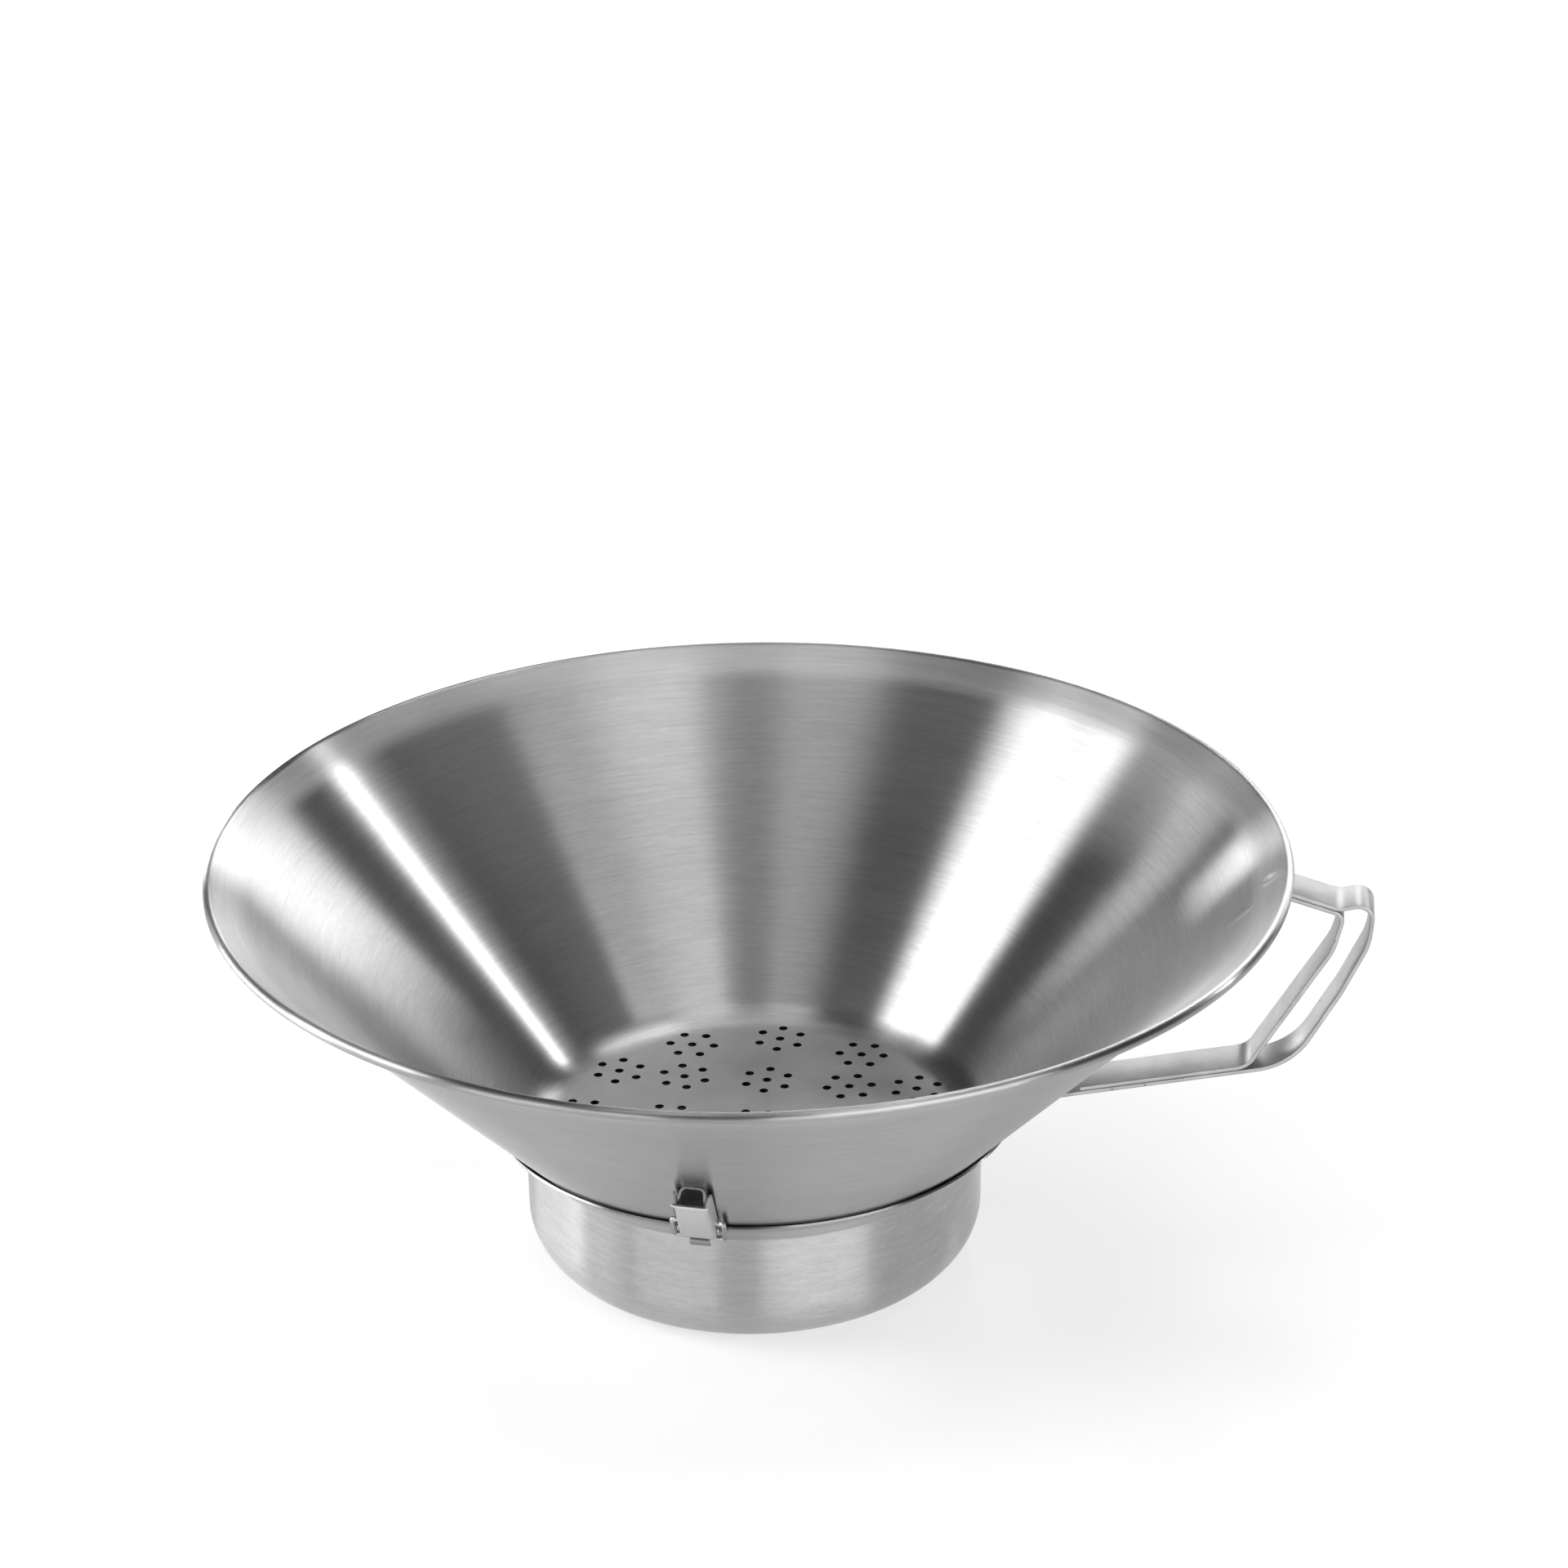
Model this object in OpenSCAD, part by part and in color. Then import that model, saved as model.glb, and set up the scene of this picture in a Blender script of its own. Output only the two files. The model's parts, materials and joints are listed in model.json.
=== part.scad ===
// Frying strainer: a wide spun funnel with a perforated bottom that sits on a
// round drip cup, held by two over-centre latches, with a two-strap side handle.
// Millimetres. The origin is the centre of the cup's base on the floor, +Z is up
// and the handle points along +X.

/* [View] */
// Which sub-part to draw

/* [Funnel] */
// Outer diameter over the rolled rim
rim_d = 350; // [315:1:385]
// Height of the rolled rim's centre above the floor
rim_z = 141.7; // [128:0.1:156]
// Outer radius of the rolled rim's tube
rim_tube_r = 1.7; // [1.4:0.1:2.2]
// How far the rim's tube stands outside the line of the wall
rim_reach = 2.5; // [1.5:0.1:4]
// Outer radius of the cone at the height of the bottom's upper face
cone_foot_r = 74.9; // [68:0.1:82]
// Height of the bottom's upper face above the floor
floor_z = 42.7; // [36:0.1:50]
// Inner radius where the wall turns into the bottom
foot_fillet = 14; // [8:0.5:18]
// Radius of the outward flare under the rim
flare_r = 6; // [4:0.5:9]
// Thickness of every spun sheet
sheet_t = 0.7; // [0.5:0.05:1.0]

/* [Drain holes] */
// Diameter of one drain hole
hole_d = 3.0; // [2:0.1:4]
// Distance between neighbouring holes in a cluster
hole_pitch = 7.6; // [6:0.1:9]
// Radius of the outer ring of clusters
ring_outer = 59.0; // [55:0.5:62]
// Number of clusters in the outer ring
ring_count = 12; // [8:1:14]
// Radius of the inner clusters that lie on the pattern's axes
ring_axis = 29.3; // [26:0.1:32]
// Radius of the inner clusters that lie between the axes
ring_between = 40.0; // [37:0.1:42]
// Turn of the whole pattern from the handle
hole_turn = -1.7; // [-15:0.1:15]

/* [Drip cup] */
// Outer radius of the cup's wall
cup_r = 75.7; // [70:0.1:80]
// Outer radius of the cup's bottom corner
cup_fillet = 17.5; // [10:0.5:22]
// Height of the lip's upper edge
lip_z = 54.3; // [50:0.1:60]
// Gap across the lip's upper edge, square to the cone
lip_gap = 0.95; // [0.5:0.05:1.5]
// Gap where the lip carries the cone
seat_gap = 0.15; // [0.1:0.05:0.3]
// Distance down the wall from the lip's edge to the seat
seat_run = 10; // [6:0.5:12]

/* [Handle] */
// Width of both straps
strap_w = 15.5; // [12:0.5:20]
// Thickness of both straps
strap_t = 1.4; // [1.0:0.1:2.0]
// Gap between two pieces that are welded together
weld_gap = 0.1; // [0.05:0.05:0.2]
// Length of the outer strap's tab under the rim
tab_top = 17; // [10:1:20]
// Length of the outer strap's tab above the cup
tab_foot = 6; // [4:0.5:7]
// Distance from the cup lip's level up the wall to the lower tab's bend
foot_run = 9; // [8:0.5:12]
// Depth of the upper tab's bend below the rim's centre
tab_drop = 1.5; // [1.5:0.1:3]
// Reach of the dip outside the rim's tube
dip_out = 16.1; // [14:0.1:18]
// Depth of the dip below the rim's centre
dip_down = 8.1; // [7:0.1:9]
// Reach of the hump's corner outside the rim's tube
hump_out = 27.2; // [25:0.1:30]
// Depth of the hump's corner below the rim's centre
hump_down = 5.4; // [4.5:0.1:6]
// Reach of the side's upper bend outside the rim's tube
side_out = 25.9; // [24:0.1:28]
// Depth of the side's upper bend below the rim's centre
side_down = 20.2; // [18:0.1:22]
// Reach of the side's lower bend outside the rim's tube
back_out = 17.7; // [16:0.1:20]
// Depth of the side's lower bend below the rim's centre
back_down = 38.0; // [35:0.1:41]
// Reach of the low corner outside the rim's tube
low_out = 2.9; // [1:0.1:5]
// Depth of the low corner below the rim's centre
low_down = 64.6; // [60:0.1:68]
// Reach of the inner strap's bend outside the rim's tube
knee_out = 14.7; // [13:0.1:16]
// Depth of the inner strap's bend below the rim's centre
knee_down = 22.7; // [20:0.1:25]
// Distance along the upper run to the inner strap's end
inner_start = 4.6; // [4:0.1:7]
// Distance along the upper run to the inner strap's upper corner
inner_turn = 22.6; // [21:0.1:24]
// Distance along the lower run to the inner strap's end
inner_end = 16.3; // [14:0.1:20]
// Distance back along the lower run from the low corner to the inner strap's corner
inner_low = 13.9; // [11:0.1:17]
// Bend radius of the tight corners
bend_tight = 3.2; // [2.5:0.1:4]
// Bend radius of the dip and of the inner strap's lower corner
bend_dip = 8; // [6:0.5:10]
// Bend radius of the hump
bend_hump = 4.5; // [4:0.1:5]
// Bend radius of the slow bends in both sides
bend_side = 20; // [15:1:30]
// Bend radius of the outer strap's low corner
bend_low = 24; // [18:1:26]

/* [Latches] */
// Position of the first latch around the axis, from the handle
latch_turn = -93.8; // [-100:0.1:-80]
// Turn of the first latch on the wall; its keeper stays straight
latch_skew = -5.7; // [-8:0.1:8]
// Width over the edges of the lever's flanges
lever_w = 12; // [10:0.5:14]
// Width over the lever's web at its free end
lever_web = 9.9; // [8.5:0.1:11]
// Thickness of the latch's sheet parts
latch_t = 0.7; // [0.5:0.05:0.9]
// Length of the lever from its free end to the hinge pin
lever_len = 37.4; // [34:0.1:40]
// Height of the lever's outer face above the cone at the hinge pin
lever_h = 5.8; // [5.6:0.1:6.2]
// How much higher the lever's outer face stands at its free end
lever_rise = 1.2; // [0.6:0.1:1.6]
// Width over the base's web
base_w = 7.6; // [7:0.1:8]
// How far each of the base's ears leans outwards
ear_lean = 0.7; // [0.2:0.1:0.8]
// Height of the base's ears above the cone
ear_h = 4.8; // [4.5:0.1:4.9]
// Distance from the cup lip's level up the wall to the hinge pin
pin_run = 5.8; // [5:0.1:7]
// Height of the hinge pin above the cone
pin_h = 2.9; // [2.7:0.1:3.1]
// Diameter of the hinge pin
pin_d = 2.0; // [1.6:0.1:2.2]
// Radial clearance of a pin in the hole that turns on it
run_fit = 0.06; // [0.02:0.01:0.1]
// Distance from the hinge pin to the bail's pivot
throw = 7; // [6:0.1:7.5]
// Diameter of the bail's wire
wire_d = 1.8; // [1.5:0.1:2.0]
// Distance between the bail's two legs
bail_w = 16; // [15.8:0.1:18]
// Length of the bail from its pivot to its crossbar
bail_len = 16.2; // [15.8:0.1:18]
// Width of the keeper on the cup
keeper_w = 6.5; // [5:0.5:8]

/* [Hidden] */
$fn = 64;
round_faces = 180;
steel = [0.78, 0.78, 0.79];
rim_r = rim_d / 2 - rim_tube_r;
curl_r = rim_tube_r - sheet_t / 2;
half_t = sheet_t / 2;
slope = (rim_r - rim_reach - cone_foot_r) / (rim_z + curl_r - floor_z);
ca = cos(atan(slope));
sa = sin(atan(slope));
lip_in = cone_r(lip_z) + lip_gap / ca;
lip_top = [lip_in, lip_z];
seat_at = [cone_r(lip_z) - seat_run * sa + seat_gap * ca, lip_z - seat_run * ca - seat_gap * sa];
lip_dir = unit(lip_top - seat_at);
lip_nrm = [lip_dir[1], -lip_dir[0]];
pin_r = pin_d / 2;
wire_r = wire_d / 2;
bail_h = 2.75;
bar_h = 3.1;
bar_run = bail_len - pin_run - throw;
eye_r = 2.3;
ear_r = 1.9;
tip_gap = 0.5;
head_gap = 0.2;
head_t = 0.5;
free_run = -pin_run - lever_len;
ear_x = base_w / 2 + ear_lean;

// Outer radius of the cone at height z
function cone_r(z) = cone_foot_r + (z - floor_z) * slope;

// A vector of length one
function unit(v) = v / norm(v);

// A point on an arc about c
function arc_pt(c, r, a) = c + r * [cos(a), sin(a)];

// The turn at corner b between the lines from a and to c
function turn(a, b, c) = acos(max(-1, min(1, unit(b - a) * unit(c - b))));

// The rounded corner at b, as points
function corner(a, b, c, r) =
    let (u = unit(a - b), v = unit(c - b), half = (180 - turn(a, b, c)) / 2)
    let (m = b + unit(u + v) * r / sin(half), p = b + u * r / tan(half), q = b + v * r / tan(half))
    let (n = max(3, ceil(turn(a, b, c) / 6)), k = cross(p - m, q - m) > 0 ? 1 : -1)
    [for (i = [0:n]) m + turned(p - m, k * turn(a, b, c) * i / n)];

// A vector turned by angle a
function turned(v, a) = [v[0] * cos(a) - v[1] * sin(a), v[0] * sin(a) + v[1] * cos(a)];

// A line of corners, each with a bend radius as its third value, as points
function bent(line) = [
    for (i = [0:len(line) - 1])
        each (i == 0 || i == len(line) - 1)
            ? [xy(line[i])]
            : corner(xy(line[i - 1]), xy(line[i]), xy(line[i + 1]), line[i][2])
];

// The first two values of a corner
function xy(v) = [v[0], v[1]];

// The direction of a point list at point i
function along(p, i) =
    unit(unit(p[min(i + 1, len(p) - 1)] - p[min(i, len(p) - 2)]) + unit(p[max(i, 1)] - p[max(i - 1, 0)]));

// How much further a corner moves than a straight run when a line moves sideways
function mitre(p, i) = 1 / (along(p, i) * unit(p[min(i + 1, len(p) - 1)] - p[min(i, len(p) - 2)]));

// The points of a list moved sideways by d
function beside(p, d) = [
    for (i = [0:len(p) - 1])
        p[i] + d * mitre(p, i) * [-along(p, i)[1], along(p, i)[0]]
];

// A list in the other order
function reversed(p) = [for (i = [len(p) - 1:-1:0]) p[i]];

// The outline of a sheet of thickness t along a centre line
function sheet(p, t) = concat(beside(p, t / 2), reversed(beside(p, -t / 2)));

// The centre line of the funnel's wall, from the middle of the bottom to the rolled edge
function funnel_line() =
    let (foot = [cone_foot_r - half_t / ca - half_t * slope, floor_z - half_t])
    let (top = [cone_foot_r - half_t / ca + (rim_z + curl_r - floor_z) * slope, rim_z + curl_r])
    concat(
        bent([[0, floor_z - half_t], [foot[0], foot[1], foot_fillet + half_t], [top[0], top[1], flare_r], [rim_r, rim_z + curl_r]]),
        [for (a = [78:-12:-180]) arc_pt([rim_r, rim_z], curl_r, a)]
    );

// The centre line of the cup's wall, from the middle of the base to the lip's edge
function cup_line() =
    let (mid = cup_r - half_t, lip = lip_top + lip_nrm * half_t, low = lip - lip_dir * (lip[0] - mid) / lip_dir[0])
    bent([[0, half_t], [mid, half_t, cup_fillet - half_t], [mid, low[1], 2], [lip[0], lip[1]]]);

// A point above the cone's wall: run mm down the wall from the lip's level and h mm out
function wall_pt(run, h) = [cone_r(lip_z) - run * sa + h * ca, lip_z - run * ca - h * sa];

// A point of the handle, out from the rim's tube and down from its centre
function from_rim(out, down) = [rim_r + out, rim_z - down];

// A point beside the line from a to b: a distance along it and a distance to its left
function beside_line(a, b, far, left) =
    let (u = unit(b - a))
    a + far * u + left * [-u[1], u[0]];

strap_off = weld_gap + strap_t / 2;
strap_pitch = weld_gap + strap_t;
head = [cone_r(rim_z - tab_drop) + strap_off / ca, rim_z - tab_drop];
dip = from_rim(dip_out, dip_down);
low = from_rim(low_out, low_down);
foot = wall_pt(-foot_run, strap_off);

// The outer strap's centre line, from its tab under the rim to its tab above the cup
function outer_line() =
    bent([
        head - tab_top * [sa, ca],
        rounded(head, bend_tight),
        rounded(dip, bend_dip),
        rounded(from_rim(hump_out, hump_down), bend_hump),
        rounded(from_rim(side_out, side_down), bend_side),
        rounded(from_rim(back_out, back_down), 2 * bend_side),
        rounded(low, bend_low),
        rounded(foot, bend_tight),
        foot - tab_foot * [sa, ca]
    ]);

// The inner strap's centre line, from under the rim to the lower weld
function inner_line() =
    bent([
        beside_line(head, dip, inner_start, -strap_pitch),
        rounded(beside_line(head, dip, inner_turn, -strap_pitch), bend_tight),
        rounded(from_rim(knee_out, knee_down), bend_side),
        rounded(beside_line(low, foot, inner_low, -strap_pitch), bend_dip),
        beside_line(foot, low, inner_end, strap_pitch)
    ]);

// A corner and its bend radius
function rounded(p, r) = [p[0], p[1], r];

// Height of the lever's outer face at a distance down the wall
function web_h(run) = lever_h - lever_rise * (run + pin_run) / lever_len;

// Half the width over the lever's web at a distance down the wall
function web_x(run) = lever_web / 2 + (lever_w - 0.3 - lever_web) / 2 * (run - free_run) / lever_len;

// The lever's section, inset from its outer face and drawn past the flanges' edges
function lever_section(run, inset, past) =
    let (web = [web_x(run) - inset, web_h(run) - inset])
    let (edge = [lever_w / 2 - inset, web_h(run) - lever_h + pin_h - eye_r])
    channel_line(web, edge + past * unit(edge - web), 1.6 - inset);

// The line of a channel from edge to edge, from half of it and its bend radius
function channel_line(web, edge, r) =
    bent([[-edge[0], edge[1]], [-web[0], web[1], r], [web[0], web[1], r], edge]);

// Puts the latch's own axes on the cone: X along the rim, Y down the wall, Z out of it
module on_cone(turn_by, skew) {
    rotate([0, 0, turn_by])
        multmatrix([
            [0, -sa, ca, cone_r(lip_z)],
            [-1, 0, 0, 0],
            [0, -ca, -sa, lip_z],
            [0, 0, 0, 1]
        ])
            rotate([0, 0, skew])
                children();
}

// A plate of width w across the latch, drawn as its side view in run and height
module side_plate(x0, x1) {
    translate([x0, 0, 0])
        rotate([90, 0, 90])
            linear_extrude(height = x1 - x0)
                children();
}

// A round bar across the latch
module cross_bar(run, h, r, x0, x1) {
    translate([x0, run, h])
        rotate([0, 90, 0])
            cylinder(r = r, h = x1 - x0);
}

// One group of seven drain holes
module hole_cluster(r, a, twist) {
    rotate([0, 0, a])
        translate([r, 0, floor_z - 2 * sheet_t])
            rotate([0, 0, twist])
                for (k = [0:6])
                    translate(k == 0 ? [0, 0, 0] : [hole_pitch * cos(60 * k), hole_pitch * sin(60 * k), 0])
                        cylinder(d = hole_d, h = 3 * sheet_t, $fn = 32);
}

// Every drain hole
module drain_holes() {
    rotate([0, 0, hole_turn]) {
        for (k = [0:ring_count - 1])
            hole_cluster(ring_outer, k * 360 / ring_count, 0);
        for (k = [0:3])
            hole_cluster(ring_axis, k * 90, 0);
        for (k = [0:3])
            hole_cluster(ring_between, 45 + k * 90, 30);
        hole_cluster(0, 0, 0);
    }
}

// The spun funnel: wall, flare, rolled rim and perforated bottom in one sheet
module funnel() {
    color(steel)
        difference() {
            rotate_extrude($fn = round_faces)
                intersection() {
                    polygon(sheet(funnel_line(), sheet_t));
                    square([rim_d, rim_z + 2 * rim_tube_r]);
                }
            drain_holes();
        }
}

// The drip cup with its flared lip
module drip_cup() {
    color(steel)
        rotate_extrude($fn = round_faces)
            intersection() {
                polygon(sheet(cup_line(), sheet_t));
                square([cup_r * 2, lip_z * 2]);
            }
}

// A strap of the handle along its centre line
module strap(line) {
    color(steel)
        rotate([90, 0, 0])
            translate([0, 0, -strap_w / 2])
                linear_extrude(height = strap_w)
                    polygon(sheet(line, strap_t));
}

// A section drawn in X and height, carried along the run
module along_run(start, end) {
    translate([0, end, 0])
        rotate([90, 0, 0])
            linear_extrude(height = end - start)
                children();
}

// The latch's base: a channel welded to the cone, with the hinge pin through its ears
module latch_base() {
    web = [base_w / 2 - latch_t / 2, weld_gap + latch_t / 2];
    color(steel)
        difference() {
            intersection() {
                along_run(free_run, 0)
                    polygon(sheet(channel_line(web, [ear_x - latch_t / 2, ear_h], 1), latch_t));
                side_plate(-base_w, base_w)
                    ear_side();
            }
            cross_bar(-pin_run, pin_h, pin_r + 0.02, -base_w, base_w);
        }
}

// Side view of the base
module ear_side() {
    polygon([
        [free_run + 1, 0],
        [-pin_run + 0.5, 0],
        [-pin_run + 1.2, pin_h - 1.5],
        [-pin_run, pin_h],
        [-pin_run, ear_h],
        [free_run + 1.4, ear_h],
        [free_run + 1, ear_h - 0.4]
    ]);
    translate([-pin_run, pin_h])
        circle(r = ear_r);
}

// The hinge pin, riveted over at both ends
module latch_pin() {
    reach = lever_w / 2 + head_gap;
    color(steel) {
        cross_bar(-pin_run, pin_h, pin_r, -reach - head_t, reach + head_t);
        cross_bar(-pin_run, pin_h, pin_r * 1.7, reach, reach + head_t);
        cross_bar(-pin_run, pin_h, pin_r * 1.7, -reach - head_t, -reach);
    }
}

// The lever: a channel open towards the cone, with a turned-out lip at its free end
module latch_lever() {
    color(steel)
        difference() {
            union() {
                intersection() {
                    difference() {
                        lever_form(0, 0);
                        lever_form(latch_t, 1);
                    }
                    side_plate(-lever_w, lever_w)
                        lever_side();
                }
                side_plate(-lever_w / 2, lever_w / 2)
                    lever_lip();
            }
            cross_bar(-pin_run, pin_h, pin_r + run_fit, -lever_w, lever_w);
            cross_bar(-pin_run - throw, bail_h, wire_r + run_fit, -lever_w, lever_w);
            for (side = [-1, 1])
                web_corner(side);
        }
}

// The solid under the lever's outer face, inset from it and drawn past its ends
module lever_form(inset, past) {
    hull()
        for (run = [free_run - 1 - past, -pin_run + eye_r + 1 + past])
            along_run(run, run + 0.01)
                polygon(lever_section(run, inset, past));
}

// Side view of the lever
module lever_side() {
    end = -pin_run + eye_r;
    polygon([
        [free_run, 2 * lever_h],
        [free_run, 0],
        [-pin_run, 0],
        [-pin_run, pin_h],
        [end, pin_h],
        [end, lever_h - 1.2],
        [end - 0.3, lever_h - 0.45],
        [end - 1, lever_h],
        [end - 1, 2 * lever_h]
    ]);
    translate([-pin_run, pin_h])
        circle(r = eye_r);
}

// What is cut off one lower corner of the lever's web
module web_corner(side) {
    end = -pin_run + eye_r;
    translate([0, 0, pin_h + 1.2])
        linear_extrude(height = lever_h)
            polygon([
                [side * (lever_w / 2 - 2.2), end + 1],
                [side * (lever_w / 2 - 2.2), end],
                [side * (lever_w / 2 - 0.9), end - 0.5],
                [side * lever_w / 2, end - 1.9],
                [side * lever_w, end - 1.9],
                [side * lever_w, end + 1]
            ]);
}

// Side view of the lip at the lever's free end
module lever_lip() {
    top = web_h(free_run);
    polygon([
        [free_run + 0.6, top - latch_t],
        [free_run + 0.6, top - 0.02],
        [free_run - 0.4, top + 0.2],
        [free_run - 1.6, top + 1.1],
        [free_run - 2.1, top + 0.6],
        [free_run - 0.9, top - 0.5],
        [free_run, top - latch_t]
    ]);
}

// A quarter bend of wire about a centre, in the plane of run and X
module wire_bend(x, run, h, r, from) {
    translate([x, run, h])
        rotate([0, 0, from])
            rotate_extrude(angle = 90)
                translate([r, 0])
                    circle(r = wire_r, $fn = 32);
}

// The wire bail, hooked into the lever's flanges, with its crossbar under the keeper
module latch_bail() {
    bend = 1.6;
    leg = bail_w / 2;
    tip = ear_x + tip_gap;
    top = -pin_run - throw;
    tilt = atan2(bail_h - bar_h, bail_len);
    color(steel)
        translate([0, top, bail_h])
            rotate([-tilt, 0, 0]) {
                for (side = [-1, 1]) {
                    cross_bar(0, 0, wire_r, side > 0 ? tip : -leg + bend, side > 0 ? leg - bend : -tip);
                    wire_bend(side * (leg - bend), bend, 0, bend, side > 0 ? -90 : 180);
                    translate([side * leg, bend, 0])
                        rotate([-90, 0, 0])
                            cylinder(r = wire_r, h = bail_len - 2 * bend);
                    wire_bend(side * (leg - bend), bail_len - bend, 0, bend, side > 0 ? 0 : 90);
                }
                cross_bar(bail_len, 0, wire_r, -leg + bend, leg - bend);
            }
}

// The keeper: a strip welded to the cup's lip, hooked over the bail's crossbar
module latch_keeper() {
    face = 1.7;
    color(steel)
        side_plate(-keeper_w / 2, keeper_w / 2)
            polygon(sheet(bent([
                [0.2, face + latch_t / 2],
                [bar_run - wire_r - 0.8, face + latch_t / 2 - 0.25, 0.8],
                [bar_run - wire_r - 0.7, bar_h + 2.45, 0.8],
                [bar_run + 1.3, bar_h + 2.55]
            ]), latch_t));
}

funnel();
drip_cup();
strap(outer_line());  // handle_outer
strap(inner_line());  // handle_inner
on_cone(latch_turn, latch_skew) latch_base();  // base_a
on_cone(latch_turn, latch_skew) latch_pin();  // pin_a
on_cone(latch_turn, latch_skew) latch_lever();  // lever_a
on_cone(latch_turn, latch_skew) latch_bail();  // bail_a
on_cone(latch_turn, 0) latch_keeper();  // keeper_a
on_cone(latch_turn + 180, 0) latch_base();  // base_b
on_cone(latch_turn + 180, 0) latch_pin();  // pin_b
on_cone(latch_turn + 180, 0) latch_lever();  // lever_b
on_cone(latch_turn + 180, 0) latch_bail();  // bail_b
on_cone(latch_turn + 180, 0) latch_keeper();  // keeper_b
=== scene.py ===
"""Frying strainer: a wide spun funnel with a perforated bottom on a round drip cup.

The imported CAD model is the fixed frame. Each visible piece is made here in the
place of its CAD node, with the bends, rolled edges, rivets and brushing of the
real sheet metal. Lengths are written in millimetres and made in metres.
"""

import json
import logging
import math
from dataclasses import dataclass
from enum import Enum
from typing import Any, Callable, Iterable, Sequence

import bmesh
import bpy
from mathutils import Matrix, Vector

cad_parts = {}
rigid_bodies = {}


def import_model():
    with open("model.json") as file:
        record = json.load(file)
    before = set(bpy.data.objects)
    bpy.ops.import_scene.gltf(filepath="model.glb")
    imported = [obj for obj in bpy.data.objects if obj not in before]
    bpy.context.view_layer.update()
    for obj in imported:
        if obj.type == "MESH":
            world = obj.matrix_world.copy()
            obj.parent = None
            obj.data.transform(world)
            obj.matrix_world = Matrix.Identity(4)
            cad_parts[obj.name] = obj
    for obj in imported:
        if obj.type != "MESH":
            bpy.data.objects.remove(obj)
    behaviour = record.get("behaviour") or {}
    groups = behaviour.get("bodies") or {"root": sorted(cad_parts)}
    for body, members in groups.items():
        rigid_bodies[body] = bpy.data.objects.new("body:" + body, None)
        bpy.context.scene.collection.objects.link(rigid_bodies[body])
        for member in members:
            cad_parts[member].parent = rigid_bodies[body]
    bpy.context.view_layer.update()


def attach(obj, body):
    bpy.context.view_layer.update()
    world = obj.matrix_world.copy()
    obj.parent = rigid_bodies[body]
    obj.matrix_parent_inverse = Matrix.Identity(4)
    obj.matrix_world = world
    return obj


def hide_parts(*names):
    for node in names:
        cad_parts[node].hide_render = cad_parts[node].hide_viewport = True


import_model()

MM = 0.001
SHARP_ANGLE = math.radians(38.0)
LOG = logging.getLogger("frying_strainer")

Corner = tuple[float, float, float]
Line = list[Vector]


# Lines and sections


def bent(corners: Sequence[Corner], step: float = 5.0) -> Line:
    """Rounds the corners of a flat line.

    Args:
        corners: Points as x, y and bend radius; the ends' radii aren't used.
        step: Largest angle between two points of a bend, in degrees.

    Returns:
        The points of the rounded line.
    """
    flat = [Vector(c[:2]) for c in corners]
    line = [flat[0]]
    for k in range(1, len(flat) - 1):
        u = (flat[k - 1] - flat[k]).normalized()
        v = (flat[k + 1] - flat[k]).normalized()
        half = u.angle(v) / 2
        turn = math.pi - 2 * half
        radius = corners[k][2]
        middle = flat[k] + (u + v).normalized() * radius / math.sin(half)
        spoke = flat[k] + u * radius / math.tan(half) - middle
        side = 1.0 if spoke.cross(flat[k] + v * radius / math.tan(half) - middle) > 0 else -1.0
        steps = max(2, math.ceil(math.degrees(turn) / step))
        for i in range(steps + 1):
            line.append(middle + Matrix.Rotation(side * turn * i / steps, 2) @ spoke)
    line.append(flat[-1])
    return line


def filled(line: Line, gap: float, edge: float = 0.8) -> Line:
    """Adds points to the long runs of a line, so that shading stays true there.

    Args:
        line: Points of the line.
        gap: Largest distance between two points.
        edge: Distance of the first added point from each end of a run.

    Returns:
        The line with its added points.
    """
    made = [line[0]]
    for a, b in zip(line, line[1:]):
        run = (b - a).length
        if run > 3 * edge:
            stops = [edge / run]
            inner = max(1, math.ceil((run - 2 * edge) / gap))
            stops += [(edge + (run - 2 * edge) * k / inner) / run for k in range(1, inner)]
            stops.append(1 - edge / run)
            made += [a.lerp(b, s) for s in stops]
        made.append(b)
    return made


def beside(line: Line, shift: float) -> Line:
    """Moves a line sideways, with mitred corners.

    Args:
        line: Points of the line.
        shift: Distance to the left of the line's direction.

    Returns:
        The moved points.
    """
    made = []
    for k, at in enumerate(line):
        before = (line[max(k, 1)] - line[max(k - 1, 0)]).normalized()
        after = (line[min(k + 1, len(line) - 1)] - line[min(k, len(line) - 2)]).normalized()
        along = (before + after).normalized()
        made.append(at + Vector((-along.y, along.x)) * shift / max(0.3, along.dot(after)))
    return made


# Node boards


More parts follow.
